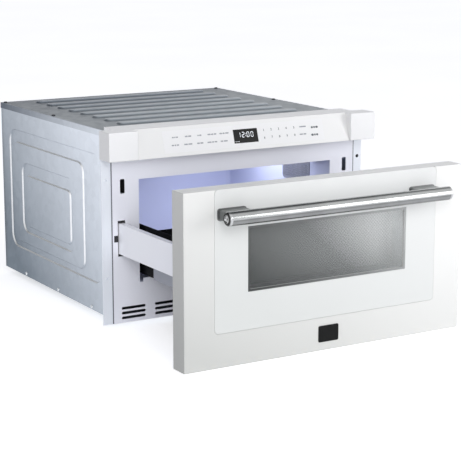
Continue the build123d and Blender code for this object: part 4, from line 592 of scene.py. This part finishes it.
def lattice(across, upwards):
    """A flat grid whose lines lie at the given places."""
    shape = bmesh.new()
    columns, rows = len(across) - 1, len(upwards) - 1
    bmesh.ops.create_grid(shape, x_segments=columns, y_segments=rows, size=0.5)
    for point in shape.verts:
        column, row = round((point.co.x + 0.5) * columns), round((point.co.y + 0.5) * rows)
        point.co = (across[column], upwards[row], 0.0)
    return shape


def thicken(shape, thick):
    """A flat shape given its thickness along Z."""
    raised = bmesh.ops.extrude_face_region(shape, geom=shape.faces[:])
    bmesh.ops.translate(shape, verts=moved(raised["geom"]), vec=(0, 0, thick))
    return shape


def tile(width, height, thick, corner, steps=3):
    """A thin rounded tile that lies on Z = 0 round the origin."""
    shape = plate(width, height)
    bmesh.ops.bevel(shape, geom=shape.verts[:], offset=corner, segments=steps, affect="VERTICES",
                    profile=0.5, material=-1)
    return thicken(shape, thick)


# Screws: a pan head, a cross recess and a plain shank
HEAD_RADIUS = 0.0040
HEAD_RISE = 0.0020
HEAD_OUTLINE = ((0.78, 0.97), (0.94, 0.78), (1.0, 0.45), (1.0, 0.0))  # shares of the radius and the rise
SHANK_RADIUS = 0.0016
SHANK_LENGTH = 0.0040
RECESS_HALF = 0.6 * HEAD_RADIUS
RECESS_CELLS = 5
RECESS_TAPER = 0.00015
RECESS_DEPTH = 0.0010


def screw():
    """One screw with its seat at the origin and its head along Z."""
    shape = bmesh.new()
    bmesh.ops.create_grid(shape, x_segments=RECESS_CELLS, y_segments=RECESS_CELLS, size=RECESS_HALF)
    cell = 2 * RECESS_HALF / RECESS_CELLS
    spots = [(face, sorted(abs(c) for c in face.calc_center_median().xy)) for face in shape.faces]
    cross = [face for face, (near, far) in spots if near < cell / 2 and far < 1.5 * cell]
    bmesh.ops.inset_region(shape, faces=cross, thickness=RECESS_TAPER, depth=-RECESS_DEPTH)
    bmesh.ops.translate(shape, verts=shape.verts, vec=(0, 0, HEAD_RISE))
    outline = [(across * HEAD_RADIUS, up * HEAD_RISE) for across, up in HEAD_OUTLINE]
    for radius, z in outline + [(SHANK_RADIUS, 0.0), (SHANK_RADIUS, -SHANK_LENGTH)]:
        rim = [edge for edge in shape.edges if edge.is_boundary]
        for point in moved(bmesh.ops.extrude_edge_only(shape, edges=rim)["geom"]):
            flat = point.co.xy.normalized() * radius
            point.co = (flat.x, flat.y, z)
    bmesh.ops.holes_fill(shape, edges=[edge for edge in shape.edges if edge.is_boundary], sides=0)
    return shape


TOP_SCREW_X = 0.266
TOP_SCREW_YS = (0.013, 0.266)
LOW_SCREW_Z = 0.006
SIDE_SCREW_YS = (-0.167, -0.007, 0.158)
BACK_SCREW_XS = (-0.262, 0.0, 0.262)
BACK_SCREW_ZS = (LOW_SCREW_Z, 0.190, 0.350)
TOP_SCREWS = [at(side * TOP_SCREW_X, y, BODY_TOP) for side in SIDES for y in TOP_SCREW_YS]
SIDE_SCREWS = [facing(side * SIDE_FACE, y, LOW_SCREW_Z, side * 90, "Y") for side in SIDES
               for y in SIDE_SCREW_YS]
BACK_SCREWS = [facing(x, BACK_FACE, z, -90, "X") for x in BACK_SCREW_XS for z in BACK_SCREW_ZS
               if x or z != BACK_SCREW_ZS[1]]
made_of("top_screws", set_down(screw(), TOP_SCREWS), BLACK_OXIDE, "chassis", "case_screws")
made_of("side_screws", set_down(screw(), SIDE_SCREWS), BRIGHT_ZINC, "chassis", "case_screws")
made_of("back_screws", set_down(screw(), BACK_SCREWS), BRIGHT_ZINC, "chassis")


# Louvre hoods over the fan's slots
FAN_X = 0.150
FAN_Z = 0.091
LOUVRE_ROWS = 8
LOUVRE_PITCH = 0.012
LOUVRE_WIDTH = 0.110
HOOD_HEIGHT = 0.0075
HOOD_DEPTH = 0.0050
HOOD_END = 1.6 * HOOD_HEIGHT
HOOD_SHEET = 0.0006
HOOD_DROP = 0.002


def louvre_hood():
    """A pressed hood, a quarter of a long drop: open below, closed above, its back edge on Y = 0."""
    shape = bmesh.new()
    bmesh.ops.create_uvsphere(shape, u_segments=24, v_segments=12, radius=1.0)
    for cut in ((0, 1, 0), (0, 0, 1)):
        whole = shape.verts[:] + shape.edges[:] + shape.faces[:]
        bmesh.ops.bisect_plane(shape, geom=whole, plane_co=(0, 0, 0), plane_no=cut, clear_inner=True)
    bmesh.ops.scale(shape, vec=(HOOD_END, HOOD_DEPTH, HOOD_HEIGHT), verts=shape.verts)
    for side in SIDES:
        wing = [point for point in shape.verts if side * point.co.x > WELD]
        bmesh.ops.translate(shape, verts=wing, vec=(side * (LOUVRE_WIDTH / 2 - HOOD_END), 0, 0))
    bmesh.ops.recalc_face_normals(shape, faces=shape.faces)
    bmesh.ops.solidify(shape, geom=shape.faces[:], thickness=HOOD_SHEET)
    return shape


HOODS = [at(FAN_X, BACK_FACE, FAN_Z + (row - (LOUVRE_ROWS - 1) / 2) * LOUVRE_PITCH - HOOD_DROP)
         for row in range(LOUVRE_ROWS)]
made_of("louvre_hoods", set_down(louvre_hood(), HOODS), GALVANISED, "chassis")


# Cord gland: a hexagon nut, a ribbed collar and a neck, with the bore left open
GLAND_X = -0.200
GLAND_Z = 0.060
GLAND_BORE = 0.0045
NUT_REACH = 0.0129
NUT_STEPS = ((1.0, 0.0046), (0.93, 0.0055))  # how wide a step is against the one below, and its height
# Outline of the collar, the bore and the neck: radius and height
COLLAR = ((0.0105, 0.0055), (0.0105, 0.0066), (0.0096, 0.0070), (0.0096, 0.0078), (0.0103, 0.0082),
          (0.0103, 0.0090), (0.0092, 0.0094), (0.0092, 0.0102), (0.0096, 0.0106), (0.0085, 0.0118),
          (0.0060, 0.0118), (GLAND_BORE, 0.0110), (GLAND_BORE, -0.0080), (0.0088, -0.0080), (0.0088, 0.0))


def next_ring(shape, top):
    """The open rim at a height drawn out to new points."""
    rim = [edge for edge in shape.edges if len(edge.link_faces) < 2
           and all(abs(point.co.z - top) < WELD for point in edge.verts)]
    return moved(bmesh.ops.extrude_edge_only(shape, edges=rim)["geom"])


def gland():
    """The gland along Z with its nut's seat at the origin."""
    shape = bmesh.new()
    bmesh.ops.create_circle(shape, segments=6, radius=NUT_REACH)
    bmesh.ops.subdivide_edges(shape, edges=shape.edges[:], cuts=5)
    top = 0.0
    for share, z in NUT_STEPS:
        for point in next_ring(shape, top):
            point.co = (point.co.x * share, point.co.y * share, z)
        top = z
    for radius, z in COLLAR:
        for point in next_ring(shape, top):
            flat = point.co.xy.normalized() * radius
            point.co = (flat.x, flat.y, z)
        top = z
    bmesh.ops.bridge_loops(shape, edges=[edge for edge in shape.edges if edge.is_boundary])
    return shape


made_of("ribbed_gland", set_down(gland(), [facing(GLAND_X, BACK_FACE, GLAND_Z, -90, "X")]), DARK_PLASTIC,
        "chassis", "cord_gland")


# Dark strips in the joint between the front frame and the flanges: a painted shadow of the gap there
GAP_SHADOW_X = 0.2789
GAP_SHADOW_WIDTH = 0.0018
GAP_SHADOW_THICK = 0.0011
GAP_SHADOW_CORNER = 0.0004
FRAME_HEIGHT = 0.322
FRAME_MIDDLE = 0.157
GAP_SHADOWS = [facing(side * GAP_SHADOW_X, FLANGE_FACE, FRAME_MIDDLE, 90, "X") for side in SIDES]
made_of("flange_gap_shadows", set_down(tile(GAP_SHADOW_WIDTH, FRAME_HEIGHT, GAP_SHADOW_THICK, GAP_SHADOW_CORNER), GAP_SHADOWS),
        GAP_SHADOW_COAT, "chassis")


# Fascia: touch film, key marks, numerals and the clock
FILM_WIDTH = 0.366
FILM_FOOT = 0.0070
FILM_HEAD = 0.0500
FILM_THICK = 0.00015
DISPLAY_WIDTH = 0.0552
DISPLAY_FOOT = 0.0142
DISPLAY_HEAD = 0.0417
INK = 0.00006
UPPER_ROW = 0.0365
LOWER_ROW = 0.0213
RUN_DROP = 0.003        # how much lower the two run keys' marks lie than their rows


def on_fascia(x, up, proud=0.0):
    """A place on the slanted fascia: across, up the slope from its foot, and proud of its face."""
    lean = Matrix.Rotation(math.radians(90) - FASCIA_TILT, 4, "X")
    return at(0, FASCIA_FOOT_Y, PANEL_FOOT) @ lean @ at(x, up, proud)


def touch_film():
    """The film over the keys, with the display's window cut out of it."""
    shape = lattice((-FILM_WIDTH / 2, -DISPLAY_WIDTH / 2, DISPLAY_WIDTH / 2, FILM_WIDTH / 2),
                    (FILM_FOOT, DISPLAY_FOOT, DISPLAY_HEAD, FILM_HEAD))
    middle = [face for face in shape.faces if abs(face.calc_center_median().x) < DISPLAY_WIDTH / 2
              and DISPLAY_FOOT < face.calc_center_median().y < DISPLAY_HEAD]
    bmesh.ops.delete(shape, geom=middle, context="FACES")
    return thicken(shape, FILM_THICK)


made_of("touch_film", set_down(touch_film(), [on_fascia(0, 0)]), TOUCH_FILM, "chassis")

# Each key's mark is a short run of dashes: its middle, its row and the dashes' lengths, in millimetres
MODE_MARKS = ((-156.5, UPPER_ROW, (4, 3, 4)), (-127.8, UPPER_ROW, (6, 7)), (-102.8, UPPER_ROW, (3, 5)),
              (-75.0, UPPER_ROW, (7, 5, 6)), (-48.0, UPPER_ROW, (6, 5, 8)),
              (-157.9, LOWER_ROW, (5, 4, 5)), (-129.8, LOWER_ROW, (8, 9)), (-103.5, LOWER_ROW, (6, 7)),
              (-76.5, LOWER_ROW, (9, 5, 6)), (-50.2, LOWER_ROW, (6, 9)),
              (134.5, UPPER_ROW, (16,)), (133.0, LOWER_ROW, (8, 7)))
RUN_MARKS = ((162.3, UPPER_ROW - RUN_DROP, (5, 4, 6)), (160.6, LOWER_ROW - RUN_DROP, (6, 4, 5)))
DASH_GAP = 0.9
DASH_HEIGHT = 0.0025
RUN_DASH_HEIGHT = 0.0042
ROUND_END = 0.45        # corner of a dash or a lit bar against its height


def dashes(marks, height):
    """Printed dashes on the film, one run for each key."""
    shapes = []
    for middle, row, lengths in marks:
        x = middle - (sum(lengths) + DASH_GAP * (len(lengths) - 1)) / 2
        for length in lengths:
            spot = on_fascia((x + length / 2) * MM, row, FILM_THICK)
            shapes.append(set_down(tile(length * MM, height, INK, ROUND_END * height), [spot]))
            x += length + DASH_GAP
    return gathered(shapes)


made_of("mode_marks", dashes(MODE_MARKS, DASH_HEIGHT), KEY_INK, "chassis")
made_of("run_marks", dashes(RUN_MARKS, RUN_DASH_HEIGHT), DARK_INK, "chassis")

NUMERAL_XS = (0.0425, 0.0598, 0.0775, 0.0952, 0.1135)
NUMERAL_HEIGHT = 0.0046
CAP_SHARE = 0.73        # height of a numeral against its type size
BOLDER = 0.00012


def numeral(text):
    """One numeral as a thin flat solid, its middle at the origin."""
    type_line = bpy.data.curves.new("numeral", "FONT")
    type_line.body = text
    type_line.size = NUMERAL_HEIGHT / CAP_SHARE
    type_line.resolution_u = 3
    type_line.align_x = "CENTER"
    type_line.extrude = INK / 2
    type_line.offset = BOLDER
    held = bpy.data.objects.new("numeral", type_line)
    mesh = bpy.data.meshes.new_from_object(held)
    bpy.data.objects.remove(held)
    bpy.data.curves.remove(type_line)
    shape = bmesh.new()
    shape.from_mesh(mesh)
    bpy.data.meshes.remove(mesh)
    bmesh.ops.remove_doubles(shape, verts=shape.verts, dist=WELD)
    bmesh.ops.translate(shape, verts=shape.verts, vec=(0, -NUMERAL_HEIGHT / 2, INK / 2))
    return shape


def numerals():
    """The ten number keys: 1 to 5 above, 6 to 0 below."""
    rows = ((UPPER_ROW, "12345"), (LOWER_ROW, "67890"))
    return gathered(set_down(numeral(text), [on_fascia(x, row, FILM_THICK)])
                    for row, line in rows for x, text in zip(NUMERAL_XS, line))


made_of("key_numerals", numerals(), DARK_INK, "chassis")

# The clock: seven-bar figures in a plain time of day, and small dots
BAR_LENGTH = 0.0048
BAR_THICK = 0.0010
BAR_SHARE = 0.88        # lit length of a bar against the distance of its ends
FIGURE_PITCH = 0.0092
FIGURE_STEPS = (-1.6, -0.6, 0.6, 1.6)   # the four figures' middles, in pitches from the clock's middle
CLOCK_ROW = 0.0305
# Each bar's middle, in bar lengths from the figure's middle, and its turn in degrees
BARS = {"a": (0.0, 1.0, 0), "g": (0.0, 0.0, 0), "d": (0.0, -1.0, 0), "f": (-0.5, 0.5, 90),
        "b": (0.5, 0.5, 90), "e": (-0.5, -0.5, 90), "c": (0.5, -0.5, 90)}
FIGURES = {"0": "abcdef", "1": "bc", "2": "abged"}
DOT = 0.0012
DOT_CORNER = 0.0004
DOT_RISE = 0.002
STANDBY_ROW = DISPLAY_FOOT + 0.0035
STANDBY_XS = (-0.0240, -0.0215, -0.0190, -0.0165)


def clock():
    """Lit bars for 12:00."""
    places = []
    for step, text in zip(FIGURE_STEPS, "1200"):
        for bar in FIGURES[text]:
            x, y, turn = BARS[bar]
            spot = on_fascia(step * FIGURE_PITCH + x * BAR_LENGTH, CLOCK_ROW + y * BAR_LENGTH)
            places.append(spot @ Matrix.Rotation(math.radians(turn), 4, "Z"))
    return set_down(tile(BAR_SHARE * BAR_LENGTH, BAR_THICK, INK, ROUND_END * BAR_THICK, 1), places)


def dots():
    """The clock's two dots, and four standby dots in the display's lower left corner."""
    spots = [on_fascia(0, CLOCK_ROW + side * DOT_RISE) for side in SIDES]
    spots += [on_fascia(x, STANDBY_ROW) for x in STANDBY_XS]
    return set_down(tile(DOT, DOT, INK, DOT_CORNER), spots)


made_of("clock_figures", clock(), SEGMENT_GLOW, "chassis")
made_of("clock_dots", dots(), SEGMENT_GLOW, "chassis")


# Rubber bumper in the right flange's upper hole
BUMPER_X = 0.290
BUMPER_Z = 0.278
BUMPER_RADIUS = 0.0036
BUMPER_RISE = 0.0011


def bumper():
    """A low dome on a flat seat, along Z."""
    shape = bmesh.new()
    bmesh.ops.create_uvsphere(shape, u_segments=20, v_segments=10, radius=BUMPER_RADIUS)
    whole = shape.verts[:] + shape.edges[:] + shape.faces[:]
    bmesh.ops.bisect_plane(shape, geom=whole, plane_co=(0, 0, 0), plane_no=(0, 0, -1), clear_outer=True)
    bmesh.ops.scale(shape, vec=(1, 1, BUMPER_RISE / BUMPER_RADIUS), verts=shape.verts)
    bmesh.ops.holes_fill(shape, edges=[edge for edge in shape.edges if edge.is_boundary], sides=0)
    return shape


made_of("flange_bumper", set_down(bumper(), [facing(BUMPER_X, FLANGE_FACE, BUMPER_Z, 90, "X")]),
        BLACK_OXIDE, "chassis")


# Dark keys in the frame's notches, and guides behind them that are open towards the slides
KEY_X = 0.2710
KEY_Z = 0.1630
KEY_PROUD = 0.0002
KEY_WIDTH = 0.0076
KEY_HEIGHT = 0.0126
KEY_THICK = 0.0007
KEY_CORNER = 0.0008
GUIDE_ACROSS = (-0.2719, -0.2655, -0.2530)
GUIDE_UP = (0.1272, 0.1330, 0.1930, 0.1988)
GUIDE_BACK = -0.2737
GUIDE_THICK = 0.0012


def arm_guide():
    """A flat fork round an arm: a back beside it, and one arm over it and one under it."""
    shape = lattice(GUIDE_ACROSS, GUIDE_UP)
    gap = [face for face in shape.faces if face.calc_center_median().x > GUIDE_ACROSS[1]
           and GUIDE_UP[1] < face.calc_center_median().y < GUIDE_UP[2]]
    bmesh.ops.delete(shape, geom=gap, context="FACES")
    return thicken(shape, -GUIDE_THICK)


KEYS = [facing(side * KEY_X, GUIDE_BACK - KEY_PROUD, KEY_Z, 90, "X") for side in SIDES]
made_of("notch_keys", set_down(tile(KEY_WIDTH, KEY_HEIGHT, KEY_THICK, KEY_CORNER), KEYS), DARK_PLASTIC,
        "chassis")
GUIDES = [Matrix.Scale(mirror, 4, (1, 0, 0)) @ facing(0, GUIDE_BACK, 0, 90, "X") for mirror in (1, -1)]
made_of("arm_guides", set_down(arm_guide(), GUIDES), DARK_PLASTIC, "chassis")


# Sleeve that lines the window's well between pane and screen
WELL_X = 0.1687
WELL_Z = (0.1213, 0.2312)
WELL_Y = (-0.5929, -0.5604)
SLEEVE_SHEET = 0.0005


def well_sleeve():
    """A thin four-sided sleeve along Z, open at both ends."""
    shape = plate(2 * WELL_X, WELL_Z[1] - WELL_Z[0])
    ring = shape.edges[:]
    bmesh.ops.delete(shape, geom=shape.faces[:], context="FACES_ONLY")
    drawn = bmesh.ops.extrude_edge_only(shape, edges=ring)
    bmesh.ops.translate(shape, verts=moved(drawn["geom"]), vec=(0, 0, WELL_Y[1] - WELL_Y[0]))
    bmesh.ops.recalc_face_normals(shape, faces=shape.faces)
    bmesh.ops.solidify(shape, geom=shape.faces[:], thickness=SLEEVE_SHEET)
    return shape


made_of("window_sleeve", set_down(well_sleeve(), [facing(0, WELL_Y[0], sum(WELL_Z) / 2, -90, "X")]),
        SLEEVE_GREY, "drawer")


# Grey printed border round the pane
PANE_X = 0.1728
PANE_Z = (0.1172, 0.2353)
PANE_FACE = -0.5965
BORDER = 0.0043


def pane_border():
    """A frame of ink as large as the pane."""
    shape = plate(2 * PANE_X, PANE_Z[1] - PANE_Z[0])
    middle = shape.faces[:]
    bmesh.ops.inset_region(shape, faces=middle, thickness=BORDER, use_boundary=True, use_even_offset=True)
    bmesh.ops.delete(shape, geom=middle, context="FACES")
    return thicken(shape, INK)


made_of("pane_border", set_down(pane_border(), [facing(0, PANE_FACE, sum(PANE_Z) / 2, 90, "X")]), BORDER_INK,
        "drawer")


# Badge plate: bare, with a bevelled rim round a sunk field
BADGE_WIDTH = 0.0440
BADGE_HEIGHT = 0.0310
BADGE_Z = 0.0170
BADGE_THICK = 0.0010
BADGE_CORNER = 0.0030
# The rim's steps inwards: how wide each is, and how far it rises
RIM_STEPS = ((0.0002, 0.0), (0.0012, 0.0), (0.0004, -0.0004))


def bare_badge():
    """The plate along Z, its field sunk inside a flat rim."""
    shape = tile(BADGE_WIDTH, BADGE_HEIGHT, BADGE_THICK, BADGE_CORNER, 5)
    front = [face for face in shape.faces if face.calc_center_median().z > 0.9 * BADGE_THICK]
    for width, rise in RIM_STEPS:
        bmesh.ops.inset_region(shape, faces=front, thickness=width, depth=rise)
    return shape


made_of("bare_badge", set_down(bare_badge(), [facing(0, DRAWER_FRONT, BADGE_Z, 90, "X")]), BADGE_BLACK,
        "drawer", "badge_plate")


# ------------------------------------------------------------------ camera, light and floor
# The photograph's camera, solved from its edges: place in metres, angles in degrees, lens in millimetres
CAMERA_SPOT = (-1.51311, -2.78193, 0.77036)
LOOKS_DOWN = 11.95
LOOKS_RIGHT = 30.83
FOCAL_LENGTH = 116.906
SENSOR_WIDTH = 36.0
FAR_END = 60.0
# Where the grey ceiling lies, and the two places along that way between which the white room turns grey
CEILING_WAY = (0.0, 0.47, 0.88)
CEILING_EDGE = (0.67, 0.81)
FLOOR_RADIUS = 14.0
# Soft boxes, a strip and the oven's lamp: place, the point each faces, size in metres, power and colour
WHITE_LIGHT = (1.0, 1.0, 1.0)
LAMPS = (
    ("left box", (-1.75, -3.70, 1.60), (0.0, -0.3, 0.15), (2.0, 2.6), 60.0, WHITE_LIGHT),
    ("left strip", (-3.00, -1.90, 0.10), (-0.27, 0.0, 0.20), (0.35, 1.6), 5.0, WHITE_LIGHT),
    ("right box", (1.35, -2.10, 0.75), (0.1, -0.6, 0.15), (1.0, 1.0), 12.0, WHITE_LIGHT),
    ("oven lamp", (0.120, -0.090, 0.2765), (0.121, -0.090, 0.0), (0.20, 0.22), 0.64, (0.84, 0.87, 1.0)),
)


def camera_like_photo():
    """The camera 3.2 m away, at the left of the front."""
    lens = bpy.data.cameras.new("photo camera")
    lens.lens = FOCAL_LENGTH
    lens.sensor_width = SENSOR_WIDTH
    lens.clip_end = FAR_END
    seen = bpy.data.objects.new("photo camera", lens)
    seen.location = CAMERA_SPOT
    seen.rotation_euler = (math.radians(90 - LOOKS_DOWN), 0.0, math.radians(-LOOKS_RIGHT))
    bpy.context.scene.collection.objects.link(seen)
    bpy.context.scene.camera = seen


def soft_lamp(name, spot, aim, size, power, colour):
    """A rectangular soft box that faces a point."""
    light = bpy.data.lights.new(name, "AREA")
    light.shape = "RECTANGLE"
    light.size, light.size_y = size
    light.energy = power
    light.color = colour
    lamp = bpy.data.objects.new(name, light)
    lamp.location = spot
    lamp.rotation_euler = (Vector(aim) - Vector(spot)).to_track_quat("-Z", "Y").to_euler()
    bpy.context.scene.collection.objects.link(lamp)


def plain_to_eye(tree):
    """One for rays from the camera, for gloss and for glass, and nought for the light on matt surfaces."""
    path = add(tree, "ShaderNodeLightPath").outputs
    seen = add(tree, "ShaderNodeMath", {0: path["Is Camera Ray"], 1: path["Is Glossy Ray"]},
               operation="MAXIMUM")
    return add(tree, "ShaderNodeMath", {0: seen.outputs[0], 1: path["Is Transmission Ray"]},
               operation="MAXIMUM").outputs[0]


def white_room():
    """White all round to the eye, a grey ceiling for gloss alone, and a dimmer light on matt surfaces."""
    world = bpy.data.worlds.new("white room")
    bpy.context.scene.world = world
    world.use_nodes = True
    tree = world.node_tree
    tree.nodes.clear()
    way = add(tree, "ShaderNodeTexCoord").outputs["Generated"]
    tilted = add(tree, "ShaderNodeVectorMath", {0: way, 1: CEILING_WAY}, operation="DOT_PRODUCT")
    eye = add(tree, "ShaderNodeLightPath").outputs["Is Camera Ray"]
    share = add(tree, "ShaderNodeMath", {0: tilted.outputs["Value"], 1: eye}, operation="SUBTRACT")
    ceiling = add(tree, "ShaderNodeValToRGB", {"Fac": share.outputs[0]},
                  stops=((CEILING_EDGE[0], "#ffffff"), (CEILING_EDGE[1], "#6a6c6e")))
    seen = add(tree, "ShaderNodeBackground", {"Color": ceiling.outputs[0], "Strength": 1.0})
    dim = add(tree, "ShaderNodeBackground", {"Color": linear("#f4f6ff"), "Strength": ROOM_LIGHT})
    both = add(tree, "ShaderNodeMixShader", {0: plain_to_eye(tree), 1: dim.outputs[0], 2: seen.outputs[0]})
    add(tree, "ShaderNodeOutputWorld", {"Surface": both.outputs[0]})


def pale_floor():
    """A pale floor that looks white and keeps the object's shadow."""
    floor = bpy.data.materials.new("pale studio floor")
    floor.use_nodes = True
    tree = floor.node_tree
    tree.nodes.clear()
    place = add(tree, "ShaderNodeTexCoord").outputs["Object"]
    tone = mottle(tree, place, 0.8, "#eeeeef", "#f2f2f3")
    matt = add(tree, "ShaderNodeBsdfDiffuse", {"Color": tone})
    lift = add(tree, "ShaderNodeMath", {0: plain_to_eye(tree), 1: FLOOR_LIFT - FLOOR_GLOW, 2: FLOOR_GLOW},
               operation="MULTIPLY_ADD")
    glow = add(tree, "ShaderNodeEmission", {"Color": linear("#ffffff"), "Strength": lift.outputs[0]})
    both = add(tree, "ShaderNodeAddShader", {0: matt.outputs[0], 1: glow.outputs[0]})
    add(tree, "ShaderNodeOutputMaterial", {"Surface": both.outputs[0]})
    shape = bmesh.new()
    bmesh.ops.create_circle(shape, cap_ends=True, segments=64, radius=FLOOR_RADIUS)
    bmesh.ops.translate(shape, verts=shape.verts, vec=(0, 0, FLOOR_Z))
    mesh = bpy.data.meshes.new("studio floor")
    shape.to_mesh(mesh)
    shape.free()
    mesh.materials.append(floor)
    ground = bpy.data.objects.new("studio floor", mesh)
    bpy.context.scene.collection.objects.link(ground)


camera_like_photo()
white_room()
for lamp in LAMPS:
    soft_lamp(*lamp)
pale_floor()
bpy.context.scene.view_settings.view_transform = "Standard"
